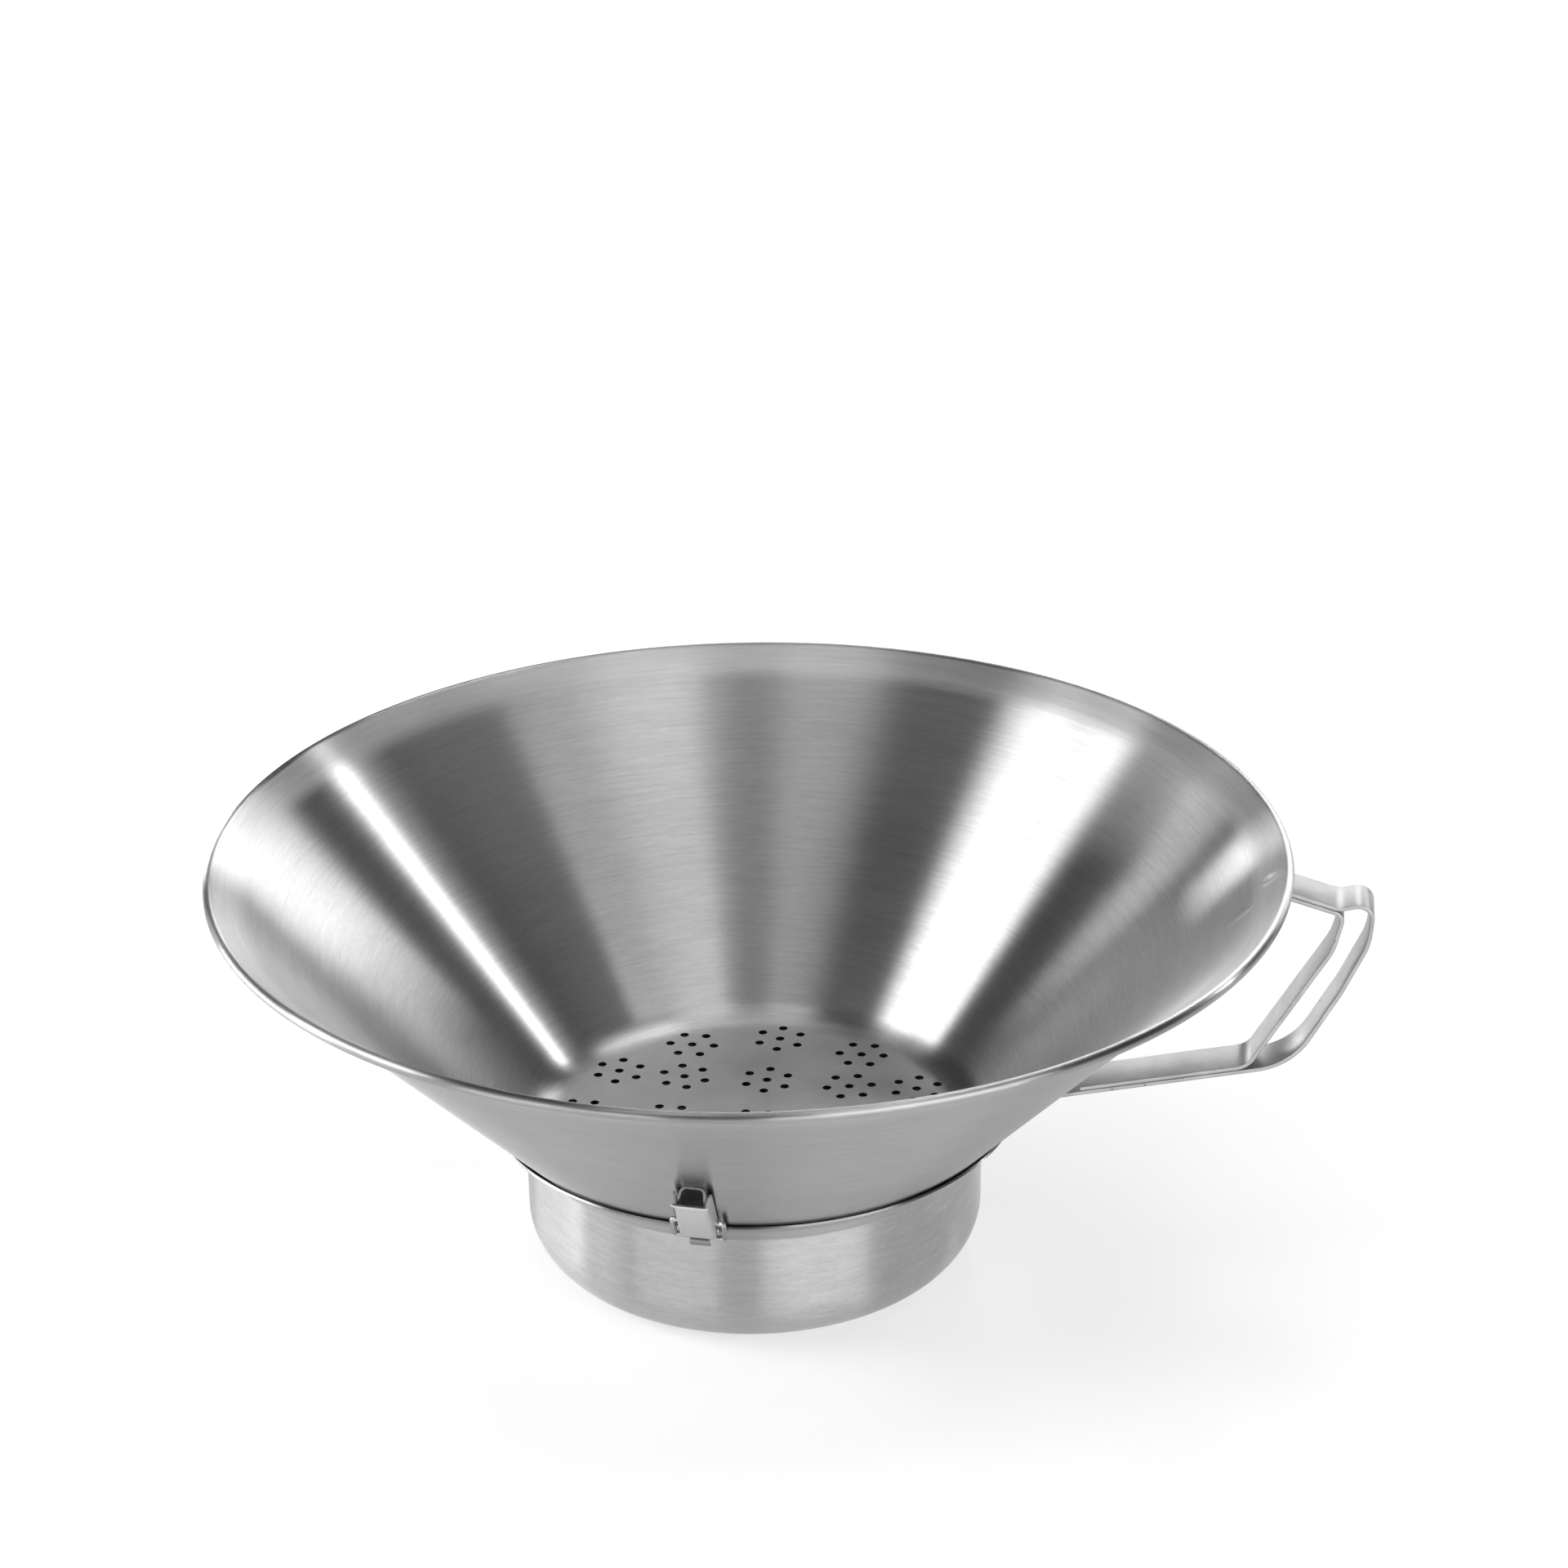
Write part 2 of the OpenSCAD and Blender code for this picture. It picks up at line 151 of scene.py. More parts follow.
class Wire:
    """One socket of a node tree; arithmetic on it adds Math nodes."""

    def __init__(self, board: "Board", socket: Any) -> None:
        """Keeps the board and the socket."""
        self.board = board
        self.socket = socket

    def _math(self, operation: str, *values: Any) -> "Wire":
        """Adds one Math node and returns its result."""
        return self.board.add("ShaderNodeMath", {"operation": operation}, dict(enumerate(values)))

    def __add__(self, other: Any) -> "Wire":
        """Returns this plus other."""
        return self._math("ADD", self, other)

    def __radd__(self, other: Any) -> "Wire":
        """Returns other plus this."""
        return self._math("ADD", other, self)

    def __sub__(self, other: Any) -> "Wire":
        """Returns this minus other."""
        return self._math("SUBTRACT", self, other)

    def __rsub__(self, other: Any) -> "Wire":
        """Returns other minus this."""
        return self._math("SUBTRACT", other, self)

    def __mul__(self, other: Any) -> "Wire":
        """Returns this times other."""
        return self._math("MULTIPLY", self, other)

    def __rmul__(self, other: Any) -> "Wire":
        """Returns other times this."""
        return self._math("MULTIPLY", other, self)

    def __truediv__(self, other: Any) -> "Wire":
        """Returns this divided by other."""
        return self._math("DIVIDE", self, other)

    def __rtruediv__(self, other: Any) -> "Wire":
        """Returns other divided by this."""
        return self._math("DIVIDE", other, self)

    def __pow__(self, other: Any) -> "Wire":
        """Returns this to the power of other."""
        return self._math("POWER", self, other)

    def high(self, other: Any) -> "Wire":
        """Returns the larger of this and other."""
        return self._math("MAXIMUM", self, other)

    def clipped(self) -> "Wire":
        """Returns this, held between 0 and 1."""
        return self._math("MINIMUM", self._math("MAXIMUM", self, 0.0), 1.0)


class Board:
    """A node tree that is filled from Python."""

    def __init__(self, tree: Any) -> None:
        """Keeps the tree."""
        self.tree = tree

    def node(self, kind: str, settings: dict | None = None, inputs: dict | None = None) -> Any:
        """Adds a node.

        Args:
            kind: The node's type name.
            settings: Its properties; "stops" gives a colour ramp's stops.
            inputs: Values or wires by socket name or number.

        Returns:
            The node.
        """
        made = self.tree.nodes.new(kind)
        for key, value in (settings or {}).items():
            if key == "stops":
                ramp = made.color_ramp
                while len(ramp.elements) < len(value):
                    ramp.elements.new(0.5)
                for element, (place, level) in zip(ramp.elements, value):
                    element.position = place
                    element.color = (level, level, level, 1.0)
            else:
                setattr(made, key, value)
        for key, value in (inputs or {}).items():
            if isinstance(value, Wire):
                self.tree.links.new(value.socket, made.inputs[key])
            else:
                made.inputs[key].default_value = value
        return made

    def add(
        self, kind: str, settings: dict | None = None, inputs: dict | None = None, out: Any = 0
    ) -> Wire:
        """Adds a node and returns one of its outputs as a wire."""
        return self.wire(self.node(kind, settings, inputs), out)

    def wire(self, node: Any, out: Any = 0) -> Wire:
        """Returns an output of a node as a wire."""
        return Wire(self, node.outputs[out])

    def join(self, wires: Iterable[Wire]) -> Wire:
        """Joins several geometries."""
        made = self.node("GeometryNodeJoinGeometry")
        for wire in wires:
            self.tree.links.new(wire.socket, made.inputs[0])
        return self.wire(made)


class Recipe:
    """A Geometry Nodes tree with named inputs."""

    SOCKETS = {float: "NodeSocketFloat", int: "NodeSocketInt", bpy.types.Material: "NodeSocketMaterial"}

    def __init__(self, name: str, **kinds: type) -> None:
        """Makes the tree and its inputs.

        Args:
            name: The tree's name.
            **kinds: The type of each input by its name.
        """
        self.tree = bpy.data.node_groups.new(name, "GeometryNodeTree")
        self.board = Board(self.tree)
        face = self.tree.interface
        face.new_socket(name="Geometry", in_out="INPUT", socket_type="NodeSocketGeometry")
        self.ids: dict[str, str] = {}
        for key, kind in kinds.items():
            socket = face.new_socket(name=key, in_out="INPUT", socket_type=self.SOCKETS[kind])
            self.ids[key] = socket.identifier
        face.new_socket(name="Geometry", in_out="OUTPUT", socket_type="NodeSocketGeometry")
        self.given = self.board.node("NodeGroupInput")

    def value(self, key: str) -> Wire:
        """Returns one of the tree's inputs as a wire."""
        return self.board.wire(self.given, key)

    def close(self, shape: Wire) -> None:
        """Ends the tree with real geometry in its material."""
        solid = self.board.add("GeometryNodeRealizeInstances", None, {0: shape})
        dressed = self.board.add(
            "GeometryNodeSetMaterial", None, {"Geometry": solid, "Material": self.value("steel")}
        )
        self.board.node("NodeGroupOutput", None, {0: dressed})

    def apply(self, piece: bpy.types.Object, soften: float = 0.0, **values: Any) -> None:
        """Puts the tree on a piece with its values and leaves a plain mesh.

        Args:
            piece: The object whose mesh goes into the tree.
            soften: Size of the bevel on sharp edges in metres, or 0.
            **values: The value of each input by its name.
        """
        modifier = piece.modifiers.new(self.tree.name, "NODES")
        modifier.node_group = self.tree
        for key, value in values.items():
            modifier[self.ids[key]] = value
        if soften:
            bevelled(piece, soften)
        settle(piece)


def perforation_recipe() -> Recipe:
    """Makes the tree that drills clusters of seven holes through a sheet.

    Returns:
        The tree, with its sizes as inputs.
    """
    made = Recipe(
        "drain_holes", hole_radius=float, pitch=float, ring_count=int, ring_radius=float,
        axis_radius=float, between_radius=float, turn=float, height=float, depth=float,
        steel=bpy.types.Material,
    )
    board = made.board
    around = board.add("GeometryNodeMeshCircle", None, {"Vertices": 6, "Radius": made.value("pitch")})
    centre = board.add("GeometryNodeMeshCircle", None, {"Vertices": 3, "Radius": 1e-7})
    centre = board.add("GeometryNodeMergeByDistance", None, {"Geometry": centre, "Distance": 1e-5})
    cluster = board.join([
        board.add("GeometryNodeMeshToPoints", None, {"Mesh": around}),
        board.add("GeometryNodeMeshToPoints", None, {"Mesh": centre}),
    ])
    index = board.add("GeometryNodeInputIndex")

    def ring(count: Any, radius: Wire, start: float, twist: float) -> Wire:
        """Places clusters on a circle; start and twist are in degrees."""
        circle = board.add("GeometryNodeMeshCircle", None, {"Vertices": count, "Radius": radius})
        angle = index * (math.tau / (count if isinstance(count, int) else 1.0))
        if isinstance(count, Wire):
            angle = angle / count
        turned = board.add("ShaderNodeCombineXYZ", None, {"Z": angle + math.radians(twist)})
        placed = board.add(
            "GeometryNodeInstanceOnPoints", None,
            {"Points": circle, "Instance": cluster, "Rotation": turned},
        )
        return board.add(
            "GeometryNodeTransform", None,
            {"Geometry": placed, "Rotation": (0.0, 0.0, math.radians(start))},
        )

    clusters = board.join([
        ring(made.value("ring_count"), made.value("ring_radius"), 0.0, 0.0),
        ring(4, made.value("axis_radius"), 0.0, 0.0),
        ring(4, made.value("between_radius"), 45.0, 30.0),
        cluster,
    ])
    spots = board.add("GeometryNodeRealizeInstances", None, {0: clusters})
    offset = board.add("ShaderNodeCombineXYZ", None, {"Z": made.value("height")})
    turn = board.add("ShaderNodeCombineXYZ", None, {"Z": made.value("turn")})
    spots = board.add(
        "GeometryNodeTransform", None, {"Geometry": spots, "Translation": offset, "Rotation": turn}
    )
    drill = board.add(
        "GeometryNodeMeshCylinder", None,
        {"Vertices": 24, "Radius": made.value("hole_radius"), "Depth": made.value("depth")},
    )
    drills = board.add("GeometryNodeInstanceOnPoints", None, {"Points": spots, "Instance": drill})
    cut = board.node(
        "GeometryNodeMeshBoolean", {"operation": "DIFFERENCE", "solver": "MANIFOLD"},
        {0: made.value("Geometry")},
    )
    board.tree.links.new(
        board.add("GeometryNodeRealizeInstances", None, {0: drills}).socket, cut.inputs[1]
    )
    made.close(board.wire(cut))
    return made


def strip_recipe() -> Recipe:
    """Makes the tree that runs a flat strip with rounded edges along a line.

    Returns:
        The tree. Its attribute "run" is the distance along the strip.
    """
    made = Recipe(
        "flat_strip", width=float, thickness=float, edge=float, steel=bpy.types.Material
    )
    board = made.board
    line = board.add("GeometryNodeMeshToCurve", None, {0: made.value("Geometry")})
    section = board.add(
        "GeometryNodeCurvePrimitiveQuadrilateral", {"mode": "RECTANGLE"},
        {"Width": made.value("width"), "Height": made.value("thickness")},
    )
    section = board.add(
        "GeometryNodeFilletCurve", {"mode": "POLY"},
        {"Curve": section, "Radius": made.value("edge"), "Count": 3},
    )
    distance = board.add("GeometryNodeSplineParameter", out="Length")
    named = board.add(
        "GeometryNodeStoreNamedAttribute", {"data_type": "FLOAT", "domain": "POINT"},
        {"Geometry": line, "Name": "run", "Value": distance},
    )
    solid = board.add(
        "GeometryNodeCurveToMesh", None,
        {"Curve": named, "Profile Curve": section, "Fill Caps": True},
    )
    made.close(board.add("GeometryNodeSetShadeSmooth", None, {"Geometry": solid}))
    return made


def wire_recipe() -> Recipe:
    """Makes the tree that runs a round wire along a line.

    Returns:
        The tree. Its attribute "run" is the distance along the wire.
    """
    made = Recipe("round_wire", radius=float, steel=bpy.types.Material)
    board = made.board
    line = board.add("GeometryNodeMeshToCurve", None, {0: made.value("Geometry")})
    section = board.add(
        "GeometryNodeCurvePrimitiveCircle", {"mode": "RADIUS"},
        {"Resolution": 20, "Radius": made.value("radius")},
    )
    named = board.add(
        "GeometryNodeStoreNamedAttribute", {"data_type": "FLOAT", "domain": "POINT"},
        {
            "Geometry": line, "Name": "run",
            "Value": board.add("GeometryNodeSplineParameter", out="Length"),
        },
    )
    solid = board.add(
        "GeometryNodeCurveToMesh", None,
        {"Curve": named, "Profile Curve": section, "Fill Caps": True},
    )
    made.close(board.add("GeometryNodeSetShadeSmooth", None, {"Geometry": solid}))
    return made


# Meshes


def settle(piece: bpy.types.Object) -> None:
    """Turns what a piece's modifiers make into its plain mesh."""
    graph = bpy.context.evaluated_depsgraph_get()
    plain = bpy.data.meshes.new_from_object(
        piece.evaluated_get(graph), preserve_all_data_layers=True, depsgraph=graph
    )
    rough = piece.data
    piece.modifiers.clear()
    piece.data = plain
    plain.name = piece.name
    bpy.data.meshes.remove(rough)
    plain.polygons.foreach_set("use_smooth", [True] * len(plain.polygons))
    plain.set_sharp_from_angle(angle=SHARP_ANGLE)


def bevelled(piece: bpy.types.Object, width: float, sharp: float = 50.0) -> None:
    """Adds a bevel to a piece's edges that turn by more than an angle in degrees."""
    edge = piece.modifiers.new("edge", "BEVEL")
    edge.width = width
    edge.segments = 2
    edge.limit_method = "ANGLE"
    edge.angle_limit = math.radians(sharp)


def moved(piece: bpy.types.Object, place: Matrix) -> None:
    """Moves a piece's mesh to a place in millimetres; its object stays at the origin."""
    piece.data.transform(Matrix.Scale(MM, 4) @ place @ Matrix.Scale(1 / MM, 4))


def piece_of(
    name: str, points: Iterable[Sequence[float]], edges: Sequence = (), faces: Sequence = (),
    place: Matrix | None = None,
) -> bpy.types.Object:
    """Makes an object from points in millimetres.

    Args:
        name: The piece's name.
        points: Its points.
        edges: Its loose edges.
        faces: Its faces.
        place: Where its own axes stand, or None for the part's axes.

    Returns:
        The object, at the origin, in metres.
    """
    mesh = bpy.data.meshes.new(name)
    mesh.from_pydata([tuple(p) for p in points], edges, faces)
    if place is not None:
        mesh.transform(place)
    mesh.transform(Matrix.Scale(MM, 4))
    piece = bpy.data.objects.new(name, mesh)
    bpy.context.scene.collection.objects.link(piece)
    return piece


def closed_up(piece: bpy.types.Object, merge: float = 1e-6) -> None:
    """Merges a piece's doubles and turns its faces outwards."""
    work = bmesh.new()
    work.from_mesh(piece.data)
    bmesh.ops.remove_doubles(work, verts=work.verts, dist=merge)
    bmesh.ops.recalc_face_normals(work, faces=work.faces)
    work.to_mesh(piece.data)
    work.free()


def lathe(
    name: str, section: Line, turns: Sequence[float], place: Matrix | None = None
) -> bpy.types.Object:
    """Turns a section about the Z axis.

    Args:
        name: The piece's name.
        section: Points as radius and height, from the axis back to the axis.
        turns: Angles of the columns in degrees.
        place: Where the axis stands, or None for the part's own.

    Returns:
        A closed object with its faces outwards.
    """
    points: list[tuple[float, float, float]] = []
    rows: list[list[int]] = []
    for radius, height in section:
        start = len(points)
        if radius < 1e-6:
            points.append((0.0, 0.0, height))
            rows.append([start] * len(turns))
            continue
        points += [
            (radius * math.cos(math.radians(a)), radius * math.sin(math.radians(a)), height)
            for a in turns
        ]
        rows.append(list(range(start, start + len(turns))))
    faces = []
    count = len(turns)
    for low, high in zip(rows, rows[1:]):
        for k in range(count):
            ring = [low[k], low[(k + 1) % count], high[(k + 1) % count], high[k]]
            face = list(dict.fromkeys(ring))
            if len(face) > 2:
                faces.append(face)
    piece = piece_of(name, points, (), faces, place)
    closed_up(piece)
    return piece


def path_piece(
    name: str, line: Iterable[Sequence[float]], place: Matrix | None = None
) -> bpy.types.Object:
    """Makes an object of one open line, for a tree that runs along it."""
    points = [tuple(p) for p in line]
    return piece_of(name, points, [(k, k + 1) for k in range(len(points) - 1)], (), place)


def pressed(
    name: str, grid: Sequence[Sequence[Sequence[float]]], thickness: float,
    lip: Sequence[Sequence[Sequence[float]]] = (), lip_from: int = 0,
    bores: Sequence[tuple[float, float, float]] = (),
) -> bpy.types.Object:
    """Makes a pressed sheet part from its middle surface.

    Args:
        name: The piece's name.
        grid: Rows of points, all of one length.
        thickness: Thickness of the sheet.
        lip: More rows that go on from the first one, nearest first.
        lip_from: Number of the first row's point that the lip starts at.
        bores: Holes along X, as Y, Z and radius.

    Returns:
        A closed object in the part's own axes.
    """
    points = [p for row in grid for p in row]
    wide = len(grid[0])
    faces = [
        (r * wide + c, r * wide + c + 1, (r + 1) * wide + c + 1, (r + 1) * wide + c)
        for r in range(len(grid) - 1)
        for c in range(wide - 1)
    ]
    near = list(range(lip_from, lip_from + len(lip[0]))) if lip else []
    for row in lip:
        far = list(range(len(points), len(points) + len(row)))
        points += list(row)
        faces += [(far[k], far[k + 1], near[k + 1], near[k]) for k in range(len(row) - 1)]
        near = far
    piece = piece_of(name, points, (), faces)
    closed_up(piece)
    wall = piece.modifiers.new("sheet", "SOLIDIFY")
    wall.thickness = thickness * MM
    wall.offset = 0.0
    wall.use_even_offset = True
    drills = []
    for y, z, radius in bores:
        along_x = Matrix.Translation((0.0, y, z)) @ Matrix.Rotation(math.pi / 2, 4, "Y")
        ends = [Vector((0, -20)), Vector((radius, -20)), Vector((radius, 20)), Vector((0, 20))]
        drill = lathe("drill", ends, even_turns(15.0), along_x)
        cut = piece.modifiers.new("bore", "BOOLEAN")
        cut.operation = "DIFFERENCE"
        cut.object = drill
        drills.append(drill)
    bevelled(piece, 0.12 * MM)
    settle(piece)
    for drill in drills:
        bpy.data.objects.remove(drill)
    closed_up(piece)
    piece.data.set_sharp_from_angle(angle=SHARP_ANGLE)
    return piece


def dress(
    piece: bpy.types.Object, steel: bpy.types.Material, node: str, body: str
) -> None:
    """Gives a finished piece its material, its body and the CAD node that it stands for."""
    piece.data.materials.clear()
    piece.data.materials.append(steel)
    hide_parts(node)
    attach(piece, body)
    LOG.info("%s: %d faces, stands for %s on %s", piece.name, len(piece.data.polygons), node, body)


# Finishes


class Slot(Enum):
    """The record's material slots."""

    SPUN = "spun_steel"
    STRAP = "strap_steel"
    LATCH = "latch_steel"
    WIRE = "wire_steel"


@dataclass(frozen=True)
class Steel:
    """What all the steel finishes share."""

    name: str
    tint: tuple[float, float, float] = (0.43, 0.43, 0.435)
    roughness: float = 0.30
    grain: float = 0.5
    brushing: float = 0.0
    brush_turn: float = 0.0

    def board(self) -> tuple[bpy.types.Material, Board]:
        """Returns a new empty material and the board of its tree."""
        made = bpy.data.materials.new(self.name)
        made.use_nodes = True
        made.node_tree.nodes.clear()
        return made, Board(made.node_tree)

    def shader(
        self, board: Board, shade: Wire, roughness: Wire, height: Wire, distance: float,
        brushing: float = 0.0,
    ) -> Wire:
        """Adds the steel's shader.

        Args:
            board: The material's board.
            shade: Factor on the steel's colour, about 1.
            roughness: The roughness over the surface.
            height: Height of the surface's marks, 0 to 1.
            distance: Depth of a mark of height 1, in metres.
            brushing: How far the gloss is drawn out across the brushing, 0 to 1.

        Returns:
            The shader's wire.
        """
        colour = board.node(
            "ShaderNodeMix", {"data_type": "RGBA", "blend_type": "MIX"},
            {6: (0.0, 0.0, 0.0, 1.0), 7: (*self.tint, 1.0), 0: shade},
        )
        colour.clamp_factor = False
        bump = board.add(
            "ShaderNodeBump", None, {"Height": height, "Distance": distance, "Strength": 1.0}
        )
        return board.add(
            "ShaderNodeBsdfPrincipled", None,
            {
                "Metallic": 1.0, "Base Color": board.wire(colour, 2), "Roughness": roughness,
                "Normal": bump, "Anisotropic": brushing, "Anisotropic Rotation": self.brush_turn,
            },
        )

    def close(self, board: Board, shader: Wire) -> None:
        """Ends a material with a shader."""
        board.node("ShaderNodeOutputMaterial", None, {"Surface": shader})

    def noise(self, board: Board, vector: Wire, scale: float, detail: float = 2.0) -> Wire:
        """Returns a noise between 0 and 1 on a vector."""
        return board.add(
            "ShaderNodeTexNoise", None, {"Vector": vector, "Scale": scale, "Detail": detail}
        )


@dataclass(frozen=True)
class SpunSteel(Steel):
    """Sheet that was brushed while it turned on the lathe."""

    lines_per_metre: float = 900.0
    sweep: float = 7.0
    # Heights of the sheet at the drain holes; the bores between them get painted shade.
    bore: tuple[float, float] = (0.04204, 0.04266)
    bore_shade_reach: float = 0.0685
    wall_slope: float = 0.9556
    wall_foot: float = 0.0336
    roll_start: float = 0.1722
    flare_start: float = 0.1342
    # Lighter colour of the flare, a painted sheen.
    flare_painted_sheen: float = 1.35
    disc_reach: float = 0.0690
    disc_shade: float = 1.1

    def make(self) -> bpy.types.Material:
        """Returns the material: fine lines round the axis, soft bands and faint handling marks, with
        painted shade in the bores, on the outer face and on the rolled rim, and a painted sheen on the
        flare.
        """
        made, board = self.board()
        place = board.node("ShaderNodeTexCoord")
        spot = board.wire(place, "Object")
        split = board.node("ShaderNodeSeparateXYZ", None, {0: spot})
        x, y, z = (board.wire(split, k) for k in "XYZ")
        radius = ((x * x + y * y) ** 0.5).high(1e-4)
        across = radius * 0.69 + z * 0.72

        def rings(lines: float, sweep: float, detail: float) -> Wire:
            """Returns noise drawn out round the axis."""
            vector = board.add(
                "ShaderNodeCombineXYZ", None,
                {0: x / radius * sweep, 1: y / radius * sweep, 2: across * lines},
            )
            return self.noise(board, vector, 1.0, detail)

        fine = rings(self.lines_per_metre, self.sweep, 3.0)
        frayed = rings(self.lines_per_metre * 1.7, self.sweep * 5.0, 2.0)
        bands = rings(90.0, 1.6, 2.0)
        smudge = self.noise(board, spot, 22.0, 3.0)
        marks = fine * 0.6 + frayed * 0.4
        shade = 1.0 + (marks - 0.5) * (0.60 * self.grain) + (bands - 0.5) * 0.12
        shade = shade + (smudge - 0.5) * 0.05
        rough = self.roughness + (smudge - 0.5) * 0.04
        # Painted shade: the walls of the drain holes' bores are darkened. The factor made here carries
        # this and the finish's other painted shade.
        low, high = self.bore
        bore = ((z - low) * 1e6).clipped() * ((high - z) * 1e6).clipped()
        bore = bore * ((self.bore_shade_reach - radius) * 1e5).clipped()
        painted_shade = 1.0 - bore * 0.85
        # Painted shade on the cone's outer face, between 50 and 137 mm up.
        outer_painted_shade = ((radius - z * self.wall_slope - self.wall_foot) * 4000.0).clipped()
        outer_painted_shade = outer_painted_shade * ((z - 0.050) * 1000.0).clipped() * ((0.137 - z) * 100.0).clipped()
        # Painted shade on the rolled rim's tube, which dims its highlight.
        painted_shade = painted_shade - outer_painted_shade * 0.22 - ((radius - self.roll_start) * 3000.0).clipped() * 0.22
        wall = self.shader(board, shade * painted_shade, rough.high(0.272), marks, 0.000005, self.brushing)
        swirl = self.noise(board, spot, 60.0, 5.0)
        plain = self.disc_shade + (swirl - 0.5) * 0.25 + (smudge - 0.5) * 0.2 + (fine - 0.5) * 0.15
        disc = self.shader(board, plain * painted_shade, 0.40 + (swirl - 0.5) * 0.2, marks, 0.000012)
        flat = ((self.disc_reach - radius) * 250.0).clipped()
        sheet = board.add("ShaderNodeMixShader", None, {0: flat, 1: wall, 2: disc})
        # The flare below the rolled rim has a rougher finish without brushing, which is real; its
        # lighter colour is a painted sheen.
        matt = self.flare_painted_sheen + (smudge - 0.5) * 0.2 + (fine - 0.5) * 0.35
        flare = self.shader(board, matt, 0.46 + (smudge - 0.5) * 0.2, marks, 0.000012)
        band = ((z - self.flare_start) * 280.0).clipped()
        band = band * ((self.roll_start - radius) * 2500.0).clipped() * 0.40
        self.close(board, board.add("ShaderNodeMixShader", None, {0: band, 1: sheet, 2: flare}))
        return made


@dataclass(frozen=True)
class StrapSteel(Steel):
    """Strip that was ground along its length."""

    def make(self) -> bpy.types.Material:
        """Returns the material: lines along the strap, cloudy patches and a few dark pits."""
        made, board = self.board()
        place = board.node("ShaderNodeTexCoord")
        spot = board.wire(place, "Object")
        split = board.node("ShaderNodeSeparateXYZ", None, {0: spot})
        run = board.add("ShaderNodeAttribute", {"attribute_name": "run"}, out="Fac")
        vector = board.add(
            "ShaderNodeCombineXYZ", None, {0: run * 45.0, 1: board.wire(split, "Y") * 1500.0}
        )
        lines = self.noise(board, vector, 1.0, 3.0)
        cloud = self.noise(board, spot, 90.0, 4.0)
        wide = self.noise(board, spot, 26.0, 2.0)
        pit = self.noise(board, spot, 420.0, 0.0)
        dark = ((pit - 0.80) * 14.0).clipped()
        shade = 1.0 + (lines - 0.5) * 0.25 + (cloud - 0.5) * 0.9 + (wide - 0.5) * 0.6
        rough = self.roughness + (lines - 0.5) * 0.2 + (cloud - 0.5) * 0.25
        height = lines * 0.5 + cloud * 0.6 - dark * 0.6
        self.close(board, self.shader(board, shade - dark * 0.45, rough.clipped(), height, 0.00003))
        return made


@dataclass(frozen=True)
class PressedSteel(Steel):
    """Satin sheet or drawn wire of the latches."""

    scratches: float = 500.0

    def make(self) -> bpy.types.Material:
        """Returns the material: short scratches one way, smudges and rubbed patches."""
        made, board = self.board()
        place = board.node("ShaderNodeTexCoord")
        spot = board.wire(place, "Object")
        split = board.node("ShaderNodeSeparateXYZ", None, {0: spot})
        x, y, z = (board.wire(split, k) for k in "XYZ")
        vector = board.add(
            "ShaderNodeCombineXYZ", None,
            {0: x * (self.scratches * 3.0), 1: (y + z) * (self.scratches * 0.12), 2: (y - z) * 300.0},
        )
        lines = self.noise(board, vector, 1.0, 2.0)
        cloud = self.noise(board, spot, 160.0, 3.0)
        shade = 1.0 + (lines - 0.5) * (0.3 * self.grain) + (cloud - 0.5) * 0.12
        rough = self.roughness + (lines - 0.5) * 0.12 + (cloud - 0.5) * 0.12
        height = lines * 0.6 + cloud * 0.4
        self.close(board, self.shader(board, shade, rough.clipped(), height, 0.000015))
        return made


# Sub-assemblies


def even_turns(step: float, fine_step: float = 0.0, fine_reach: float = 0.0) -> list[float]:
    """Returns the lathe's column angles, closer together around the handle at 0."""
    if not fine_step:
        return [k * step for k in range(round(360 / step))]
    near = [-fine_reach + k * fine_step for k in range(round(2 * fine_reach / fine_step))]
    rest = round((360 - 2 * fine_reach) / step)
    return near + [fine_reach + k * (360 - 2 * fine_reach) / rest for k in range(rest)]


